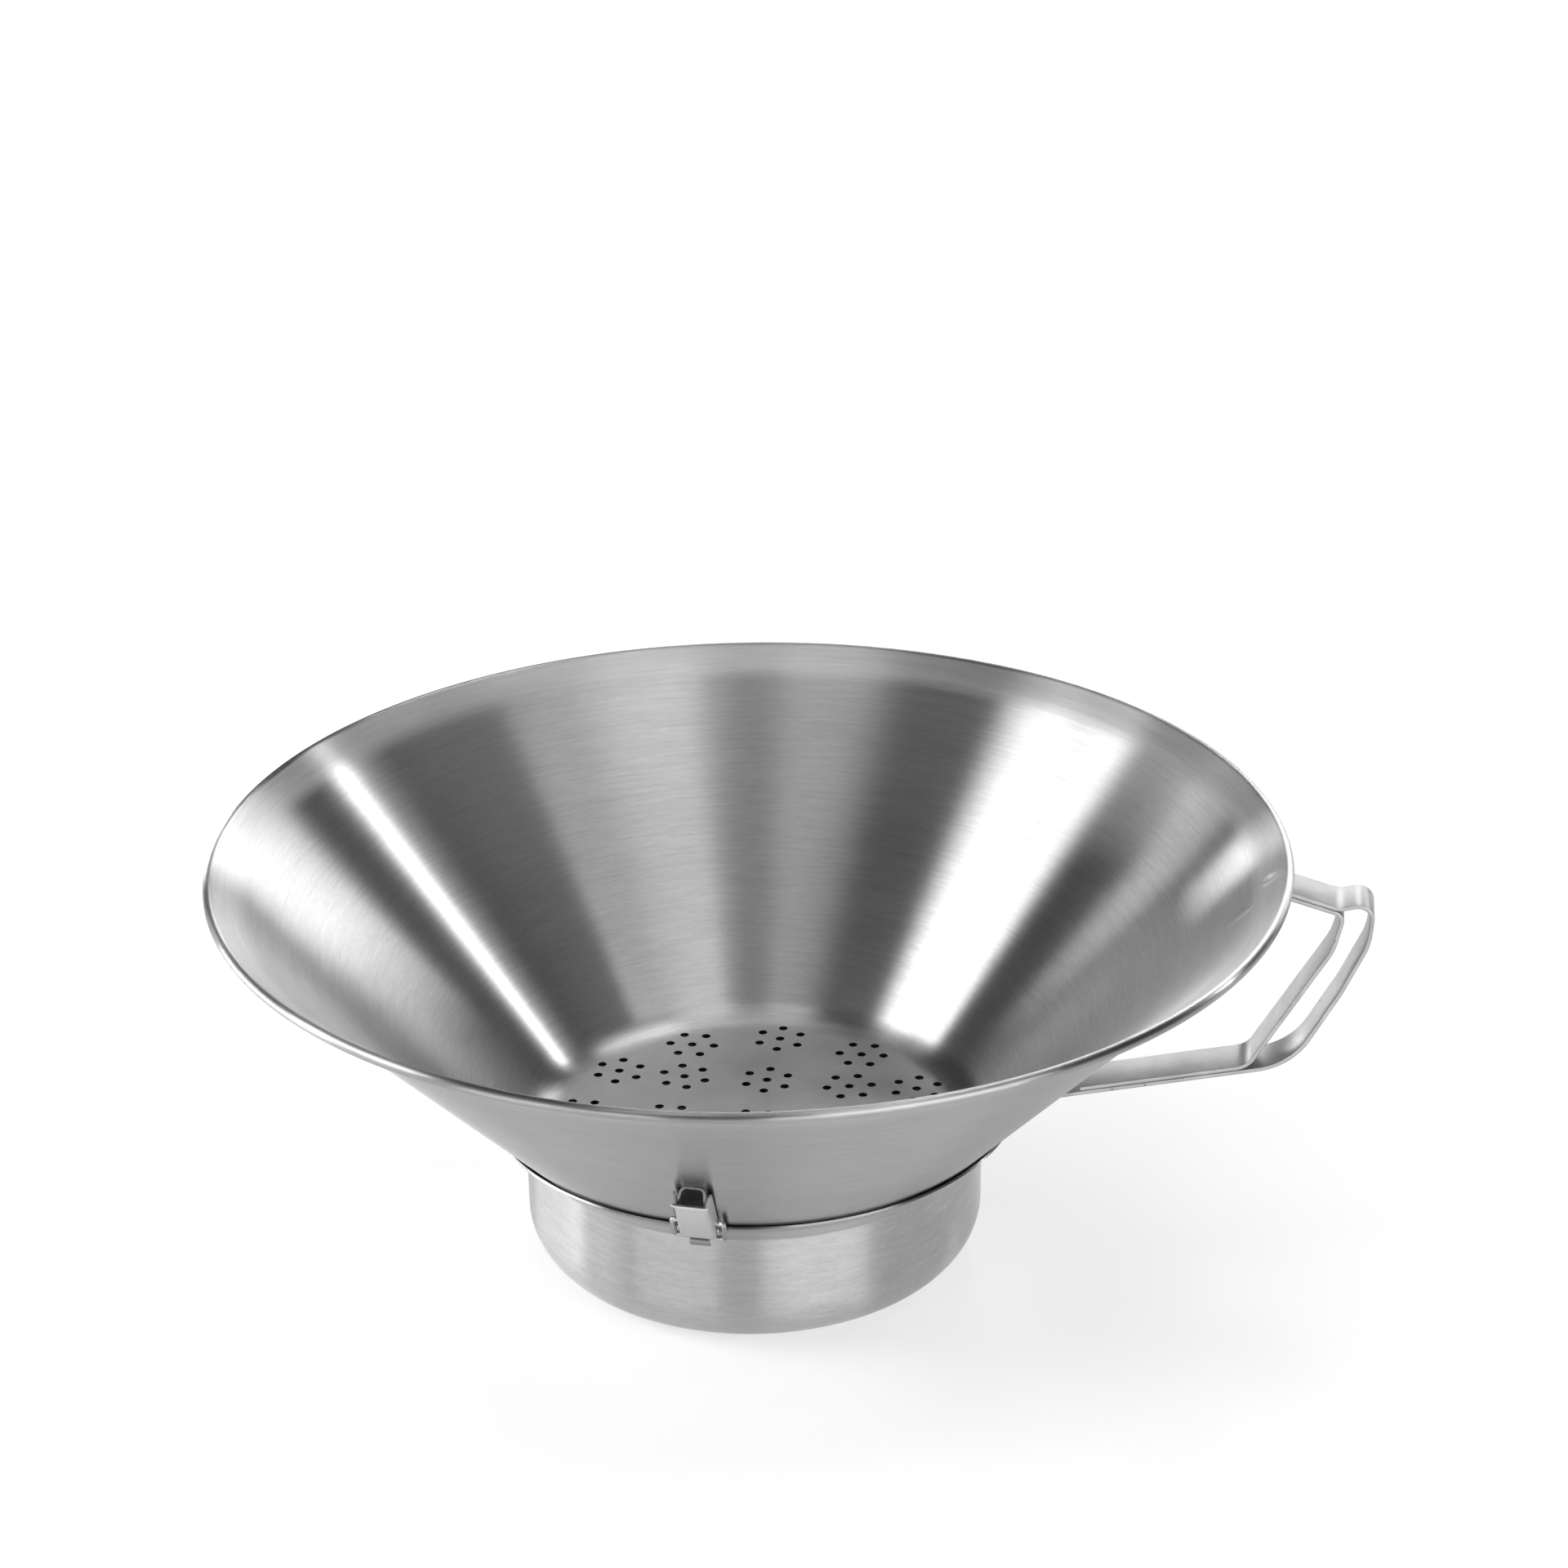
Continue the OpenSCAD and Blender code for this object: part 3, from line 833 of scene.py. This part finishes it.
@dataclass
class Cone:
    """The cone's wall, which the funnel, the cup, the straps and the latches share."""

    rim_d: float = 350.0
    rim_z: float = 141.7
    rim_tube_r: float = 1.7
    rim_reach: float = 2.5
    foot_r: float = 74.9
    floor_z: float = 42.7
    sheet_t: float = 0.7
    lip_z: float = 54.3

    @property
    def rim_r(self) -> float:
        """Radius of the circle that the rim's tube is rolled about."""
        return self.rim_d / 2 - self.rim_tube_r

    @property
    def curl_r(self) -> float:
        """Radius of the rolled rim at the middle of its sheet."""
        return self.rim_tube_r - self.sheet_t / 2

    @property
    def slope(self) -> float:
        """Radius that the wall gains in each millimetre of height."""
        reach = self.rim_r - self.rim_reach - self.foot_r
        return reach / (self.rim_z + self.curl_r - self.floor_z)

    @property
    def down(self) -> Vector:
        """Direction down the wall, as radius and height."""
        lean = math.atan(self.slope)
        return Vector((-math.sin(lean), -math.cos(lean)))

    @property
    def out(self) -> Vector:
        """Direction out of the wall, as radius and height."""
        return Vector((-self.down.y, self.down.x))

    def radius(self, z: float) -> float:
        """Outer radius of the wall at a height."""
        return self.foot_r + (z - self.floor_z) * self.slope

    def at(self, run: float, height: float) -> Vector:
        """Point run down the wall from the lip's level and height outside it."""
        return Vector((self.radius(self.lip_z), self.lip_z)) + self.down * run + self.out * height

    def latch_place(self, turn: float, skew: float) -> Matrix:
        """Axes of a latch: X along the rim, Y down the wall and Z out of it.

        Args:
            turn: Angle of the latch about the strainer's axis, in degrees.
            skew: Angle by which it stands askew on the wall, in degrees.

        Returns:
            The axes in the part's own.
        """
        start = self.at(0.0, 0.0)
        axes = Matrix((
            (0.0, self.down.x, self.out.x, start.x),
            (-1.0, 0.0, 0.0, 0.0),
            (0.0, self.down.y, self.out.y, start.y),
            (0.0, 0.0, 0.0, 1.0),
        ))
        around = Matrix.Rotation(math.radians(turn), 4, "Z")
        return around @ axes @ Matrix.Rotation(math.radians(skew), 4, "Z")


@dataclass
class Funnel:
    """The spun funnel with its rolled rim, its weld dents and its drain holes."""

    cone: Cone
    foot_fillet: float = 14.0
    flare_lean: float = 36.5
    hole_d: float = 3.0
    hole_pitch: float = 7.6
    ring_outer: float = 59.0
    ring_count: int = 12
    ring_axis: float = 29.3
    ring_between: float = 40.0
    hole_turn: float = -1.7

    def line(self) -> Line:
        """Returns the middle line of the sheet, from the axis to the end of the curl."""
        cone = self.cone
        half = cone.sheet_t / 2
        lean = math.atan(cone.slope)
        foot_r = cone.foot_r - half / math.cos(lean) - half * cone.slope
        flare = math.radians(self.flare_lean)
        along = Vector((math.cos(flare), math.sin(flare)))
        join = Vector((
            cone.rim_r - cone.curl_r * math.sin(flare), cone.rim_z + cone.curl_r * math.cos(flare)
        ))
        low = Vector((foot_r, cone.floor_z - half))
        reach = (join - low).cross(-cone.down) / along.cross(-cone.down)
        corner = join - along * reach
        line = bent([
            (0.0, cone.floor_z - half, 0.0),
            (foot_r, cone.floor_z - half, self.foot_fillet + half),
            (corner.x, corner.y, 0.40 * reach / math.tan(along.angle(-cone.down) / 2)),
            (join.x, join.y, 0.0),
        ], 4.0)
        curl = [
            Vector((
                cone.rim_r + cone.curl_r * math.cos(math.radians(a)),
                cone.rim_z + cone.curl_r * math.sin(math.radians(a)),
            ))
            for a in range(int(78 + self.flare_lean), -181, -12)
        ]
        return filled(line, 6.0) + curl

    def dents(self, piece: bpy.types.Object) -> None:
        """Presses the two spot welds of the handle's tab into the wall."""
        for turn, z, depth, reach in ((0.5, 139.0, 0.35, 4.0), (-2.9, 132.4, 0.4, 4.5)):
            middle_r = self.cone.radius(z)
            angle = math.radians(turn)
            middle = Vector((middle_r * math.cos(angle), middle_r * math.sin(angle), z)) * MM
            push = Vector((
                self.cone.out.x * math.cos(angle), self.cone.out.x * math.sin(angle), self.cone.out.y
            ))
            for vertex in piece.data.vertices:
                far = (vertex.co - middle).length / (reach * MM)
                if far < 1.0:
                    vertex.co += push * depth * MM * (1 - far * far) ** 2

    def build(self, steel: bpy.types.Material) -> bpy.types.Object:
        """Returns the funnel."""
        line = self.line()
        half = self.cone.sheet_t / 2
        section = beside(line, half) + beside(line, -half)[::-1]
        section[0].x = section[-1].x = 0.0
        piece = lathe("funnel_sheet", section, even_turns(1.5, 0.3, 6.0))
        perforation_recipe().apply(
            piece, hole_radius=self.hole_d / 2 * MM, pitch=self.hole_pitch * MM,
            ring_count=self.ring_count, ring_radius=self.ring_outer * MM,
            axis_radius=self.ring_axis * MM, between_radius=self.ring_between * MM,
            turn=math.radians(self.hole_turn), height=(self.cone.floor_z - half) * MM,
            depth=3 * self.cone.sheet_t * MM, steel=steel,
        )
        self.dents(piece)
        dress(piece, steel, "funnel", "strainer")
        return piece


@dataclass
class DripCup:
    """The cup under the funnel, with its flared lip."""

    cone: Cone
    wall_r: float = 75.7
    fillet: float = 17.5
    lip_gap: float = 0.95
    seat_gap: float = 0.15
    seat_run: float = 10.0

    def line(self) -> Line:
        """Returns the middle line of the sheet, from the axis to the lip's edge."""
        cone = self.cone
        half = cone.sheet_t / 2
        top = Vector((cone.radius(cone.lip_z) + self.lip_gap / cone.out.x, cone.lip_z))
        seat = cone.at(self.seat_run, self.seat_gap)
        along = (top - seat).normalized()
        lip = top + Vector((along.y, -along.x)) * half
        middle = self.wall_r - half
        low = lip - along * (lip.x - middle) / along.x
        return filled(bent([
            (0.0, half, 0.0),
            (middle, half, self.fillet - half),
            (middle, low.y, 2.0),
            (lip.x, lip.y, 0.0),
        ], 4.0), 6.0)

    def build(self, steel: bpy.types.Material) -> bpy.types.Object:
        """Returns the cup."""
        line = self.line()
        half = self.cone.sheet_t / 2
        section = beside(line, half) + beside(line, -half)[::-1]
        section[0].x = section[-1].x = 0.0
        piece = lathe("drip_cup_sheet", section, even_turns(1.5))
        settle(piece)
        dress(piece, steel, "drip_cup", "strainer")
        return piece


@dataclass
class Handle:
    """The two straps of the side handle."""

    cone: Cone
    width: float = 15.5
    thickness: float = 1.4
    weld_gap: float = 0.1
    flare_room: float = 0.9
    edge: float = 0.3

    def rim(self, out: float, drop: float, radius: float) -> Corner:
        """Corner out from the rim's tube and below its centre."""
        return (self.cone.rim_r + out, self.cone.rim_z - drop, radius)

    def ends(self) -> tuple[Vector, Vector]:
        """Returns the bends where the outer strap leaves the cone, at the rim and at the foot."""
        off = self.weld_gap + self.thickness / 2
        top_z = self.cone.rim_z - 1.5
        head = Vector((self.cone.radius(top_z) + off / self.cone.out.x, top_z))
        return head + self.cone.out * self.flare_room, self.cone.at(-9.0, off)

    def outer_line(self) -> Line:
        """Returns the outer strap's middle line."""
        head, foot = self.ends()
        down = self.cone.down
        start = head - self.cone.out * self.flare_room + down * 17.0
        end = foot + down * 6.0
        return filled(bent([
            (start.x, start.y, 0.0),
            (head.x, head.y, 3.2),
            self.rim(16.1, 8.1, 8.0),
            self.rim(27.2, 5.4, 4.5),
            self.rim(25.9, 20.2, 20.0),
            self.rim(17.7, 38.0, 40.0),
            self.rim(2.9, 64.6, 24.0),
            (foot.x, foot.y, 3.2),
            (end.x, end.y, 0.0),
        ], 4.0), 4.0)

    def inner_line(self) -> Line:
        """Returns the inner strap's middle line."""
        head, foot = self.ends()
        dip = Vector(self.rim(16.1, 8.1, 0.0)[:2])
        low = Vector(self.rim(2.9, 64.6, 0.0)[:2])
        pitch = self.weld_gap + self.thickness

        def by(a: Vector, b: Vector, far: float, left: float) -> tuple[float, float]:
            """Point along the run from a to b and to its left."""
            u = (b - a).normalized()
            spot = a + u * far + Vector((-u.y, u.x)) * left
            return spot.x, spot.y

        return filled(bent([
            (*by(head, dip, 4.6, -pitch), 0.0),
            (*by(head, dip, 22.6, -pitch), 3.2),
            self.rim(14.7, 22.7, 20.0),
            (*by(low, foot, 13.9, -pitch), 8.0),
            (*by(foot, low, 16.3, pitch), 0.0),
        ], 4.0), 4.0)

    def build(self, steel: bpy.types.Material) -> list[bpy.types.Object]:
        """Returns the outer and the inner strap."""
        recipe = strip_recipe()
        made = []
        for name, node, line in (
            ("strap_outer", "handle_outer", self.outer_line()),
            ("strap_inner", "handle_inner", self.inner_line()),
        ):
            piece = path_piece(name, [(p.x, 0.0, p.y) for p in line])
            recipe.apply(
                piece, soften=0.15 * MM, width=self.width * MM,
                thickness=self.thickness * MM, edge=self.edge * MM, steel=steel,
            )
            dress(piece, steel, node, "strainer")
            made.append(piece)
        return made


@dataclass
class Latch:
    """One over-centre latch: base, pin, lever, wire bail and keeper."""

    cone: Cone
    mark: str
    turn: float
    skew: float = 0.0
    lever_w: float = 12.0
    lever_web: float = 9.9
    sheet: float = 0.7
    lever_len: float = 37.4
    lever_h: float = 5.8
    lever_rise: float = 1.2
    base_w: float = 7.6
    ear_lean: float = 0.7
    ear_h: float = 4.8
    ear_r: float = 1.9
    eye_r: float = 2.3
    pin_run: float = 5.8
    pin_h: float = 2.9
    pin_d: float = 2.0
    throw: float = 7.0
    wire_d: float = 1.8
    bail_w: float = 16.0
    bail_len: float = 16.2
    bail_h: float = 2.75
    bar_h: float = 3.1
    keeper_w: float = 6.5

    @property
    def place(self) -> Matrix:
        """Axes of the latch: X along the rim, Y down the wall and Z out of it."""
        return self.cone.latch_place(self.turn, self.skew)

    @property
    def free_end(self) -> float:
        """Run of the lever's free end."""
        return -self.pin_run - self.lever_len

    @property
    def pivot(self) -> float:
        """Run of the bail's pivot."""
        return -self.pin_run - self.throw

    def eye(self, height: float, radius: float) -> float:
        """Run of a flange's end that is rounded about the pin, at a height."""
        side = max(-1.0, min(1.0, (height - self.pin_h) / radius))
        return -self.pin_run + radius * math.sqrt(1 - side * side)

    def channel(self, web: tuple[float, float], edge: tuple[float, float], bend: float) -> Line:
        """Section of a channel, as X and height, from one flange's edge to the other's.

        Args:
            web: The corner between the web and a flange.
            edge: The flange's edge.
            bend: Radius of the two bends.

        Returns:
            25 points; the eighth and the eighteenth are the middles of the bends.
        """
        corners = [(-edge[0], edge[1], 0.0), (-web[0], web[1], bend), (*web, bend), (*edge, 0.0)]
        line = bent(corners, 15.0)
        made = line[:1]
        for a, b in zip(line, line[1:]):
            parts = 4 if (b - a).length > 1.0 else 1
            made += [a.lerp(b, k / parts) for k in range(1, parts + 1)]
        return made

    def lever_section(self, run: float) -> Line:
        """Section of the lever's sheet at a run; it is narrower and higher at the free end."""
        half = self.sheet / 2
        top = self.lever_h - self.lever_rise * (run + self.pin_run) / self.lever_len
        gain = (self.lever_w - 0.3 - self.lever_web) / 2
        web_x = self.lever_web / 2 + gain * (run - self.free_end) / self.lever_len
        foot = top - self.lever_h + self.pin_h - self.eye_r
        return self.channel((web_x - half, top - half), (self.lever_w / 2 - half, foot), 1.25)

    def lever_end(self, spot: Vector) -> float:
        """Run at which the lever ends, at a point of its section."""
        if spot.y < self.pin_h:
            return self.eye(spot.y, self.eye_r)
        near = abs(spot.x) - self.lever_w / 2
        corner = max(0.0, 0.3 * (near + 2.2) / 1.3, 0.3 + 0.9 * (near + 0.9) / 0.9)
        corner *= min(1.0, (spot.y - self.pin_h) / 1.6)
        crown = 0.4 * max(0.0, (spot.y - self.lever_h + 1.2) / 0.85)
        return -self.pin_run + self.eye_r - max(corner, crown)

    def lever(self, steel: bpy.types.Material) -> bpy.types.Object:
        """Returns the lever with its flanges, rounded end and turned-out lip."""
        start = self.free_end
        grid = []
        for past in (0.0, 0.6, 1.4, 3.0, 8.0, 14.0, 20.0, 26.0, 31.0, 34.5):
            section = self.lever_section(start + past)
            low = section[0].y + max(0.0, 1.4 - past)
            lean = (section[1].x - section[0].x) / (section[1].y - section[0].y)
            row = []
            for spot in section:
                lift = max(0.0, low - spot.y)
                row.append((spot.x - math.copysign(lift * lean, spot.x), start + past, spot.y + lift))
            grid.append(row)
        begin = start + 34.5
        for share in (0.4, 0.75, 1.0):
            row = []
            for k, spot in enumerate(self.lever_section(-self.pin_run)):
                run = begin + (self.lever_end(spot) - begin) * share
                there = self.lever_section(run)[k]
                row.append((there.x, run, there.y))
            grid.append(row)
        lip = [
            [
                (spot.x * (1 + 0.145 * rise), start - back, spot.y)
                for spot in beside(self.lever_section(start), rise)[7:18]
            ]
            for back, rise in ((0.5, 0.03), (1.0, 0.22), (1.45, 0.6), (1.85, 1.0))
        ]
        piece = pressed(
            f"lever_{self.mark}_channel", grid, self.sheet, lip, 7,
            ((-self.pin_run, self.pin_h, self.pin_d / 2 + 0.06),
             (self.pivot, self.bail_h, self.wire_d / 2 + 0.06)),
        )
        moved(piece, self.place)
        dress(piece, steel, f"lever_{self.mark}", f"lever_{self.mark}_body")
        return piece

    def base(self, steel: bpy.types.Material) -> bpy.types.Object:
        """Returns the base, a channel that is welded to the cone and open outwards."""
        half = self.sheet / 2
        ear = self.base_w / 2 + self.ear_lean - half
        section = self.channel((self.base_w / 2 - half, 0.1 + half), (ear, self.ear_h), 1.9)
        start = self.free_end + 1.0
        grid = []
        for past in (0.0, 0.5, 1.5, 6.0, 13.0, 20.0, 27.0, 33.0):
            high = self.ear_h - max(0.0, 0.5 - past)
            grid.append([(spot.x, start + past, min(spot.y, high)) for spot in section])
        begin = start + 33.0
        for share in (0.5, 0.85, 1.0):
            row = []
            for spot in section:
                low = -self.pin_run + 0.5 + 0.5 * spot.y
                reach = self.eye(spot.y, self.ear_r) if spot.y > self.pin_h - 1.5 else low
                row.append((spot.x, begin + (reach - begin) * share, spot.y))
            grid.append(row)
        piece = pressed(
            f"base_{self.mark}_channel", grid, self.sheet, (), 0,
            ((-self.pin_run, self.pin_h, self.pin_d / 2 + 0.02),),
        )
        moved(piece, self.place)
        dress(piece, steel, f"base_{self.mark}", "strainer")
        return piece

    def pin(self, steel: bpy.types.Material) -> bpy.types.Object:
        """Returns the hinge pin with its two riveted heads."""
        r = self.pin_d / 2
        head = r * 1.7
        reach = self.lever_w / 2 + 0.2
        end = [
            (r, 0.0), (r, reach - 0.02), (head - 0.08, reach), (head, reach + 0.1),
            (head - 0.05, reach + 0.25), (head * 0.78, reach + 0.42), (head * 0.45, reach + 0.5),
            (head * 0.3, reach + 0.48), (head * 0.18, reach + 0.36), (0.0, reach + 0.32),
        ]
        section = [Vector((x, -z)) for x, z in reversed(end)] + [Vector(p) for p in end[1:]]
        along_x = Matrix.Rotation(math.pi / 2, 4, "Y")
        spot = Matrix.Translation((0.0, -self.pin_run, self.pin_h))
        piece = lathe(f"pin_{self.mark}_rivet", section, even_turns(12.0), self.place @ spot @ along_x)
        settle(piece)
        dress(piece, steel, f"pin_{self.mark}", "strainer")
        return piece

    def bail(self, steel: bpy.types.Material) -> bpy.types.Object:
        """Returns the wire bail, hooked into the lever's flanges."""
        leg = self.bail_w / 2
        tip = self.base_w / 2 + self.ear_lean + 0.5
        far = self.pivot + self.bail_len
        flat = bent([
            (-tip, self.pivot, 0.0), (-leg, self.pivot, 1.6), (-leg, far, 1.6),
            (leg, far, 1.6), (leg, self.pivot, 1.6), (tip, self.pivot, 0.0),
        ], 10.0)
        drop = (self.bail_h - self.bar_h) / self.bail_len
        line = [(p.x, p.y, self.bail_h - (p.y - self.pivot) * drop) for p in filled(flat, 3.0)]
        piece = path_piece(f"bail_{self.mark}_wire", line)
        wire_recipe().apply(
            piece, soften=0.2 * MM, radius=self.wire_d / 2 * MM, steel=steel
        )
        moved(piece, self.place)
        dress(piece, steel, f"bail_{self.mark}", f"bail_{self.mark}_body")
        return piece

    def keeper(self, steel: bpy.types.Material) -> bpy.types.Object:
        """Returns the keeper, a strip welded to the lip and hooked over the bail's crossbar."""
        bar = self.pivot + self.bail_len
        r = self.wire_d / 2
        flat = filled(bent([
            (0.2, 2.05, 0.0), (bar - r - 0.8, 1.8, 0.8),
            (bar - r - 0.7, self.bar_h + 2.45, 0.8), (bar + 0.9, self.bar_h + 2.5, 0.0),
        ], 8.0), 2.0)
        piece = path_piece(f"keeper_{self.mark}_strip", [(0.0, p.x, p.y) for p in flat])
        strip_recipe().apply(
            piece, soften=0.12 * MM, width=self.keeper_w * MM,
            thickness=self.sheet * MM, edge=0.15 * MM, steel=steel,
        )
        moved(piece, self.cone.latch_place(self.turn, 0.0))
        dress(piece, steel, f"keeper_{self.mark}", "strainer")
        return piece

    def build(
        self, sheet: bpy.types.Material, wire: bpy.types.Material, shaded_keeper_steel: bpy.types.Material
    ) -> None:
        """Builds the latch's five pieces."""
        self.base(sheet)
        self.pin(wire)
        self.lever(sheet)
        self.bail(wire)
        self.keeper(shaded_keeper_steel)


# Studio


@dataclass(frozen=True)
class Softbox:
    """A soft rectangular lamp, by the angles at which the strainer sees it, in degrees."""

    name: str
    azimuth: float
    elevation: float
    spread: float
    rise: float
    level: float
    roll: float = 0.0
    distance: float = 3.0

    def light(self) -> None:
        """Makes the lamp; level is its brightness, where white paper is 1."""
        lamp = bpy.data.lights.new(self.name, "AREA")
        lamp.shape = "RECTANGLE"
        lamp.size = 2 * self.distance * math.tan(math.radians(self.spread / 2))
        lamp.size_y = 2 * self.distance * math.tan(math.radians(self.rise / 2))
        lamp.energy = math.pi * lamp.size * lamp.size_y * self.level
        around, up = math.radians(self.azimuth), math.radians(self.elevation)
        aim = Vector((
            math.cos(up) * math.cos(around), math.cos(up) * math.sin(around), math.sin(up)
        ))
        item = bpy.data.objects.new(self.name, lamp)
        bpy.context.scene.collection.objects.link(item)
        item.location = aim * self.distance
        face = aim.to_track_quat("Z", "Y").to_matrix()
        item.rotation_euler = (face @ Matrix.Rotation(math.radians(self.roll), 3, "Z")).to_euler()


@dataclass
class Studio:
    """The floor, the lamps, the world and the camera."""

    view_turn: float = 7.7
    rim_z: float = 141.7
    distance: float = 1298.1406
    elevation: float = 0.446872701
    yaw: float = 0.00913205064
    pitch: float = -0.0172149820
    roll: float = 0.0195577230
    lens: float = 92.3146
    sensor: float = 36.0
    floor_size: float = 40.0
    floor_near: float = 0.42
    floor_far: float = 0.62
    floor_fade: tuple[float, float] = (0.10, 0.35)
    floor_glow: float = 1.28
    world_level: float = 0.05
    boxes: tuple[Softbox, ...] = (
        Softbox("key", 186.5, 30.0, 28.5, 12.0, 12.5),
        Softbox("key_edge", 206.0, 30.0, 5.5, 12.0, 8.0),
        Softbox("key_upper", 190.0, 43.0, 14.6, 14.0, 4.5),
        Softbox("left_low", 170.0, 6.3, 39.8, 11.5, 13.0),
        Softbox("front_dim", 226.0, 30.0, 26.0, 12.0, 1.0),
        Softbox("right", 315.0, 30.0, 43.3, 12.0, 6.0),
        Softbox("right_low", 305.0, 6.3, 49.7, 11.5, 6.0),
        Softbox("front_low", 240.0, 6.3, 39.8, 11.5, 5.0),
        Softbox("back", 85.0, 30.0, 8.7, 12.0, 10.8),
        Softbox("back_upper", 75.0, 58.0, 5.3, 16.0, 11.5),
        Softbox("back_top", 98.0, 58.0, 12.0, 26.0, 1.4),
        Softbox("back_left_low", 125.0, 6.3, 9.9, 11.5, 10.0),
        Softbox("back_left", 142.0, 18.0, 12.0, 16.0, 1.8),
        Softbox("streak", 34.8, 31.5, 2.0, 16.0, 30.0, -39.0),
        Softbox("right_dim", 26.5, 30.0, 8.0, 12.0, 1.4),
        Softbox("back_right", 65.0, 18.0, 28.5, 12.0, 3.9),
        Softbox("back_centre", 95.0, 18.0, 9.5, 12.0, 6.3),
        Softbox("top_left", 235.0, 76.0, 17.3, 14.4, 3.0),
        Softbox("top_right", 325.0, 76.0, 21.0, 16.5, 2.8),
    )

    def camera(self) -> None:
        """Makes the camera; its small turns are those of the photograph's framing."""
        data = bpy.data.cameras.new("view")
        data.sensor_width = self.sensor
        data.lens = self.lens
        data.clip_start = 0.05
        data.clip_end = 100.0
        camera = bpy.data.objects.new("view", data)
        bpy.context.scene.collection.objects.link(camera)
        up, flat = math.sin(self.elevation), math.cos(self.elevation)
        level = Matrix(((1.0, 0.0, 0.0), (0.0, up, flat), (0.0, -flat, up)))
        tilt = (
            Matrix.Rotation(self.roll, 3, "Z")
            @ Matrix.Rotation(self.pitch, 3, "X")
            @ Matrix.Rotation(self.yaw, 3, "Y")
        )
        seat = Vector((0.0, -flat * self.distance, up * self.distance)) * MM
        turn = Matrix.Rotation(math.radians(self.view_turn), 4, "Z")
        lift = Matrix.Translation((0.0, 0.0, self.rim_z * MM))
        camera.matrix_world = (
            turn @ lift @ Matrix.Translation(seat) @ (tilt @ level).transposed().to_4x4()
        )
        bpy.context.scene.camera = camera

    def floor(self) -> None:
        """Makes the pale floor, which takes the strainer's shadow and glows less near the strainer, a
        painted shade around its foot.
        """
        half = self.floor_size / 2
        mesh = bpy.data.meshes.new("floor")
        corners = [(-half, -half, 0), (half, -half, 0), (half, half, 0), (-half, half, 0)]
        mesh.from_pydata(corners, [], [(0, 1, 2, 3)])
        item = bpy.data.objects.new("floor", mesh)
        bpy.context.scene.collection.objects.link(item)
        paper = bpy.data.materials.new("pale_floor")
        paper.use_nodes = True
        paper.node_tree.nodes.clear()
        board = Board(paper.node_tree)
        path = board.node("ShaderNodeLightPath")
        seen = (
            board.wire(path, "Is Camera Ray")
            + board.wire(path, "Is Glossy Ray")
            + board.wire(path, "Is Transmission Ray")
        ).clipped()
        matt = board.add("ShaderNodeBsdfDiffuse", None, {"Color": (0.9, 0.9, 0.9, 1.0)})
        white = board.add(
            "ShaderNodeEmission", None,
            {"Color": (1.0, 1.0, 1.0, 1.0), "Strength": self.floor_glow},
        )
        split = board.node(
            "ShaderNodeSeparateXYZ", None, {0: board.wire(board.node("ShaderNodeTexCoord"), "Object")}
        )
        x, y = board.wire(split, "X"), board.wire(split, "Y")
        # Painted shade: the floor's glow share is lower near the strainer, so the floor there renders
        # darker.
        near, far = self.floor_fade
        away = (((x * x + y * y) ** 0.5 - near) / (far - near)).clipped()
        share = self.floor_near + away * away * (3.0 - 2.0 * away) * (self.floor_far - self.floor_near)
        mix = board.add("ShaderNodeMixShader", None, {0: seen * share, 1: matt, 2: white})
        board.node("ShaderNodeOutputMaterial", None, {"Surface": mix})
        mesh.materials.append(paper)

    def world(self) -> None:
        """Sets the even light from all around."""
        made = bpy.data.worlds.new("even_light")
        made.use_nodes = True
        made.node_tree.nodes.clear()
        board = Board(made.node_tree)
        grey = board.add(
            "ShaderNodeBackground", None,
            {"Color": (1.0, 1.0, 1.0, 1.0), "Strength": self.world_level},
        )
        board.node("ShaderNodeOutputWorld", None, {"Surface": grey})
        bpy.context.scene.world = made

    def build(self) -> None:
        """Sets up everything around the strainer."""
        self.camera()
        self.floor()
        self.world()
        for box in self.boxes:
            box.light()
        bpy.context.scene.view_settings.view_transform = "Standard"


def main() -> None:
    """Builds the strainer and its studio."""
    logging.basicConfig(level=logging.INFO, format="%(name)s: %(message)s")
    Studio().build()
    cone = Cone()
    spun = SpunSteel(
        "spun_steel_finish", roughness=0.30, grain=1.0, brushing=1.0, brush_turn=0.25
    ).make()
    strap = StrapSteel("strap_steel_finish", (0.44, 0.44, 0.443), roughness=0.46).make()
    sheet = PressedSteel("latch_steel_finish", (0.55, 0.55, 0.555), roughness=0.40).make()
    wire = PressedSteel("wire_steel_finish", roughness=0.22, grain=0.3).make()
    # The keeper's darker colour is painted shade, for the shade it sits in under the lever.
    shaded_keeper_steel = PressedSteel("keeper_painted_shade_steel", (0.26, 0.26, 0.262), roughness=0.50).make()
    Funnel(cone).build(spun)
    DripCup(cone).build(spun)
    Handle(cone).build(strap)
    for mark, turn, skew in (("a", -93.8, -5.7), ("b", 86.2, 0.0)):
        Latch(cone, mark, turn, skew).build(sheet, wire, shaded_keeper_steel)


if __name__ == "__main__":
    main()
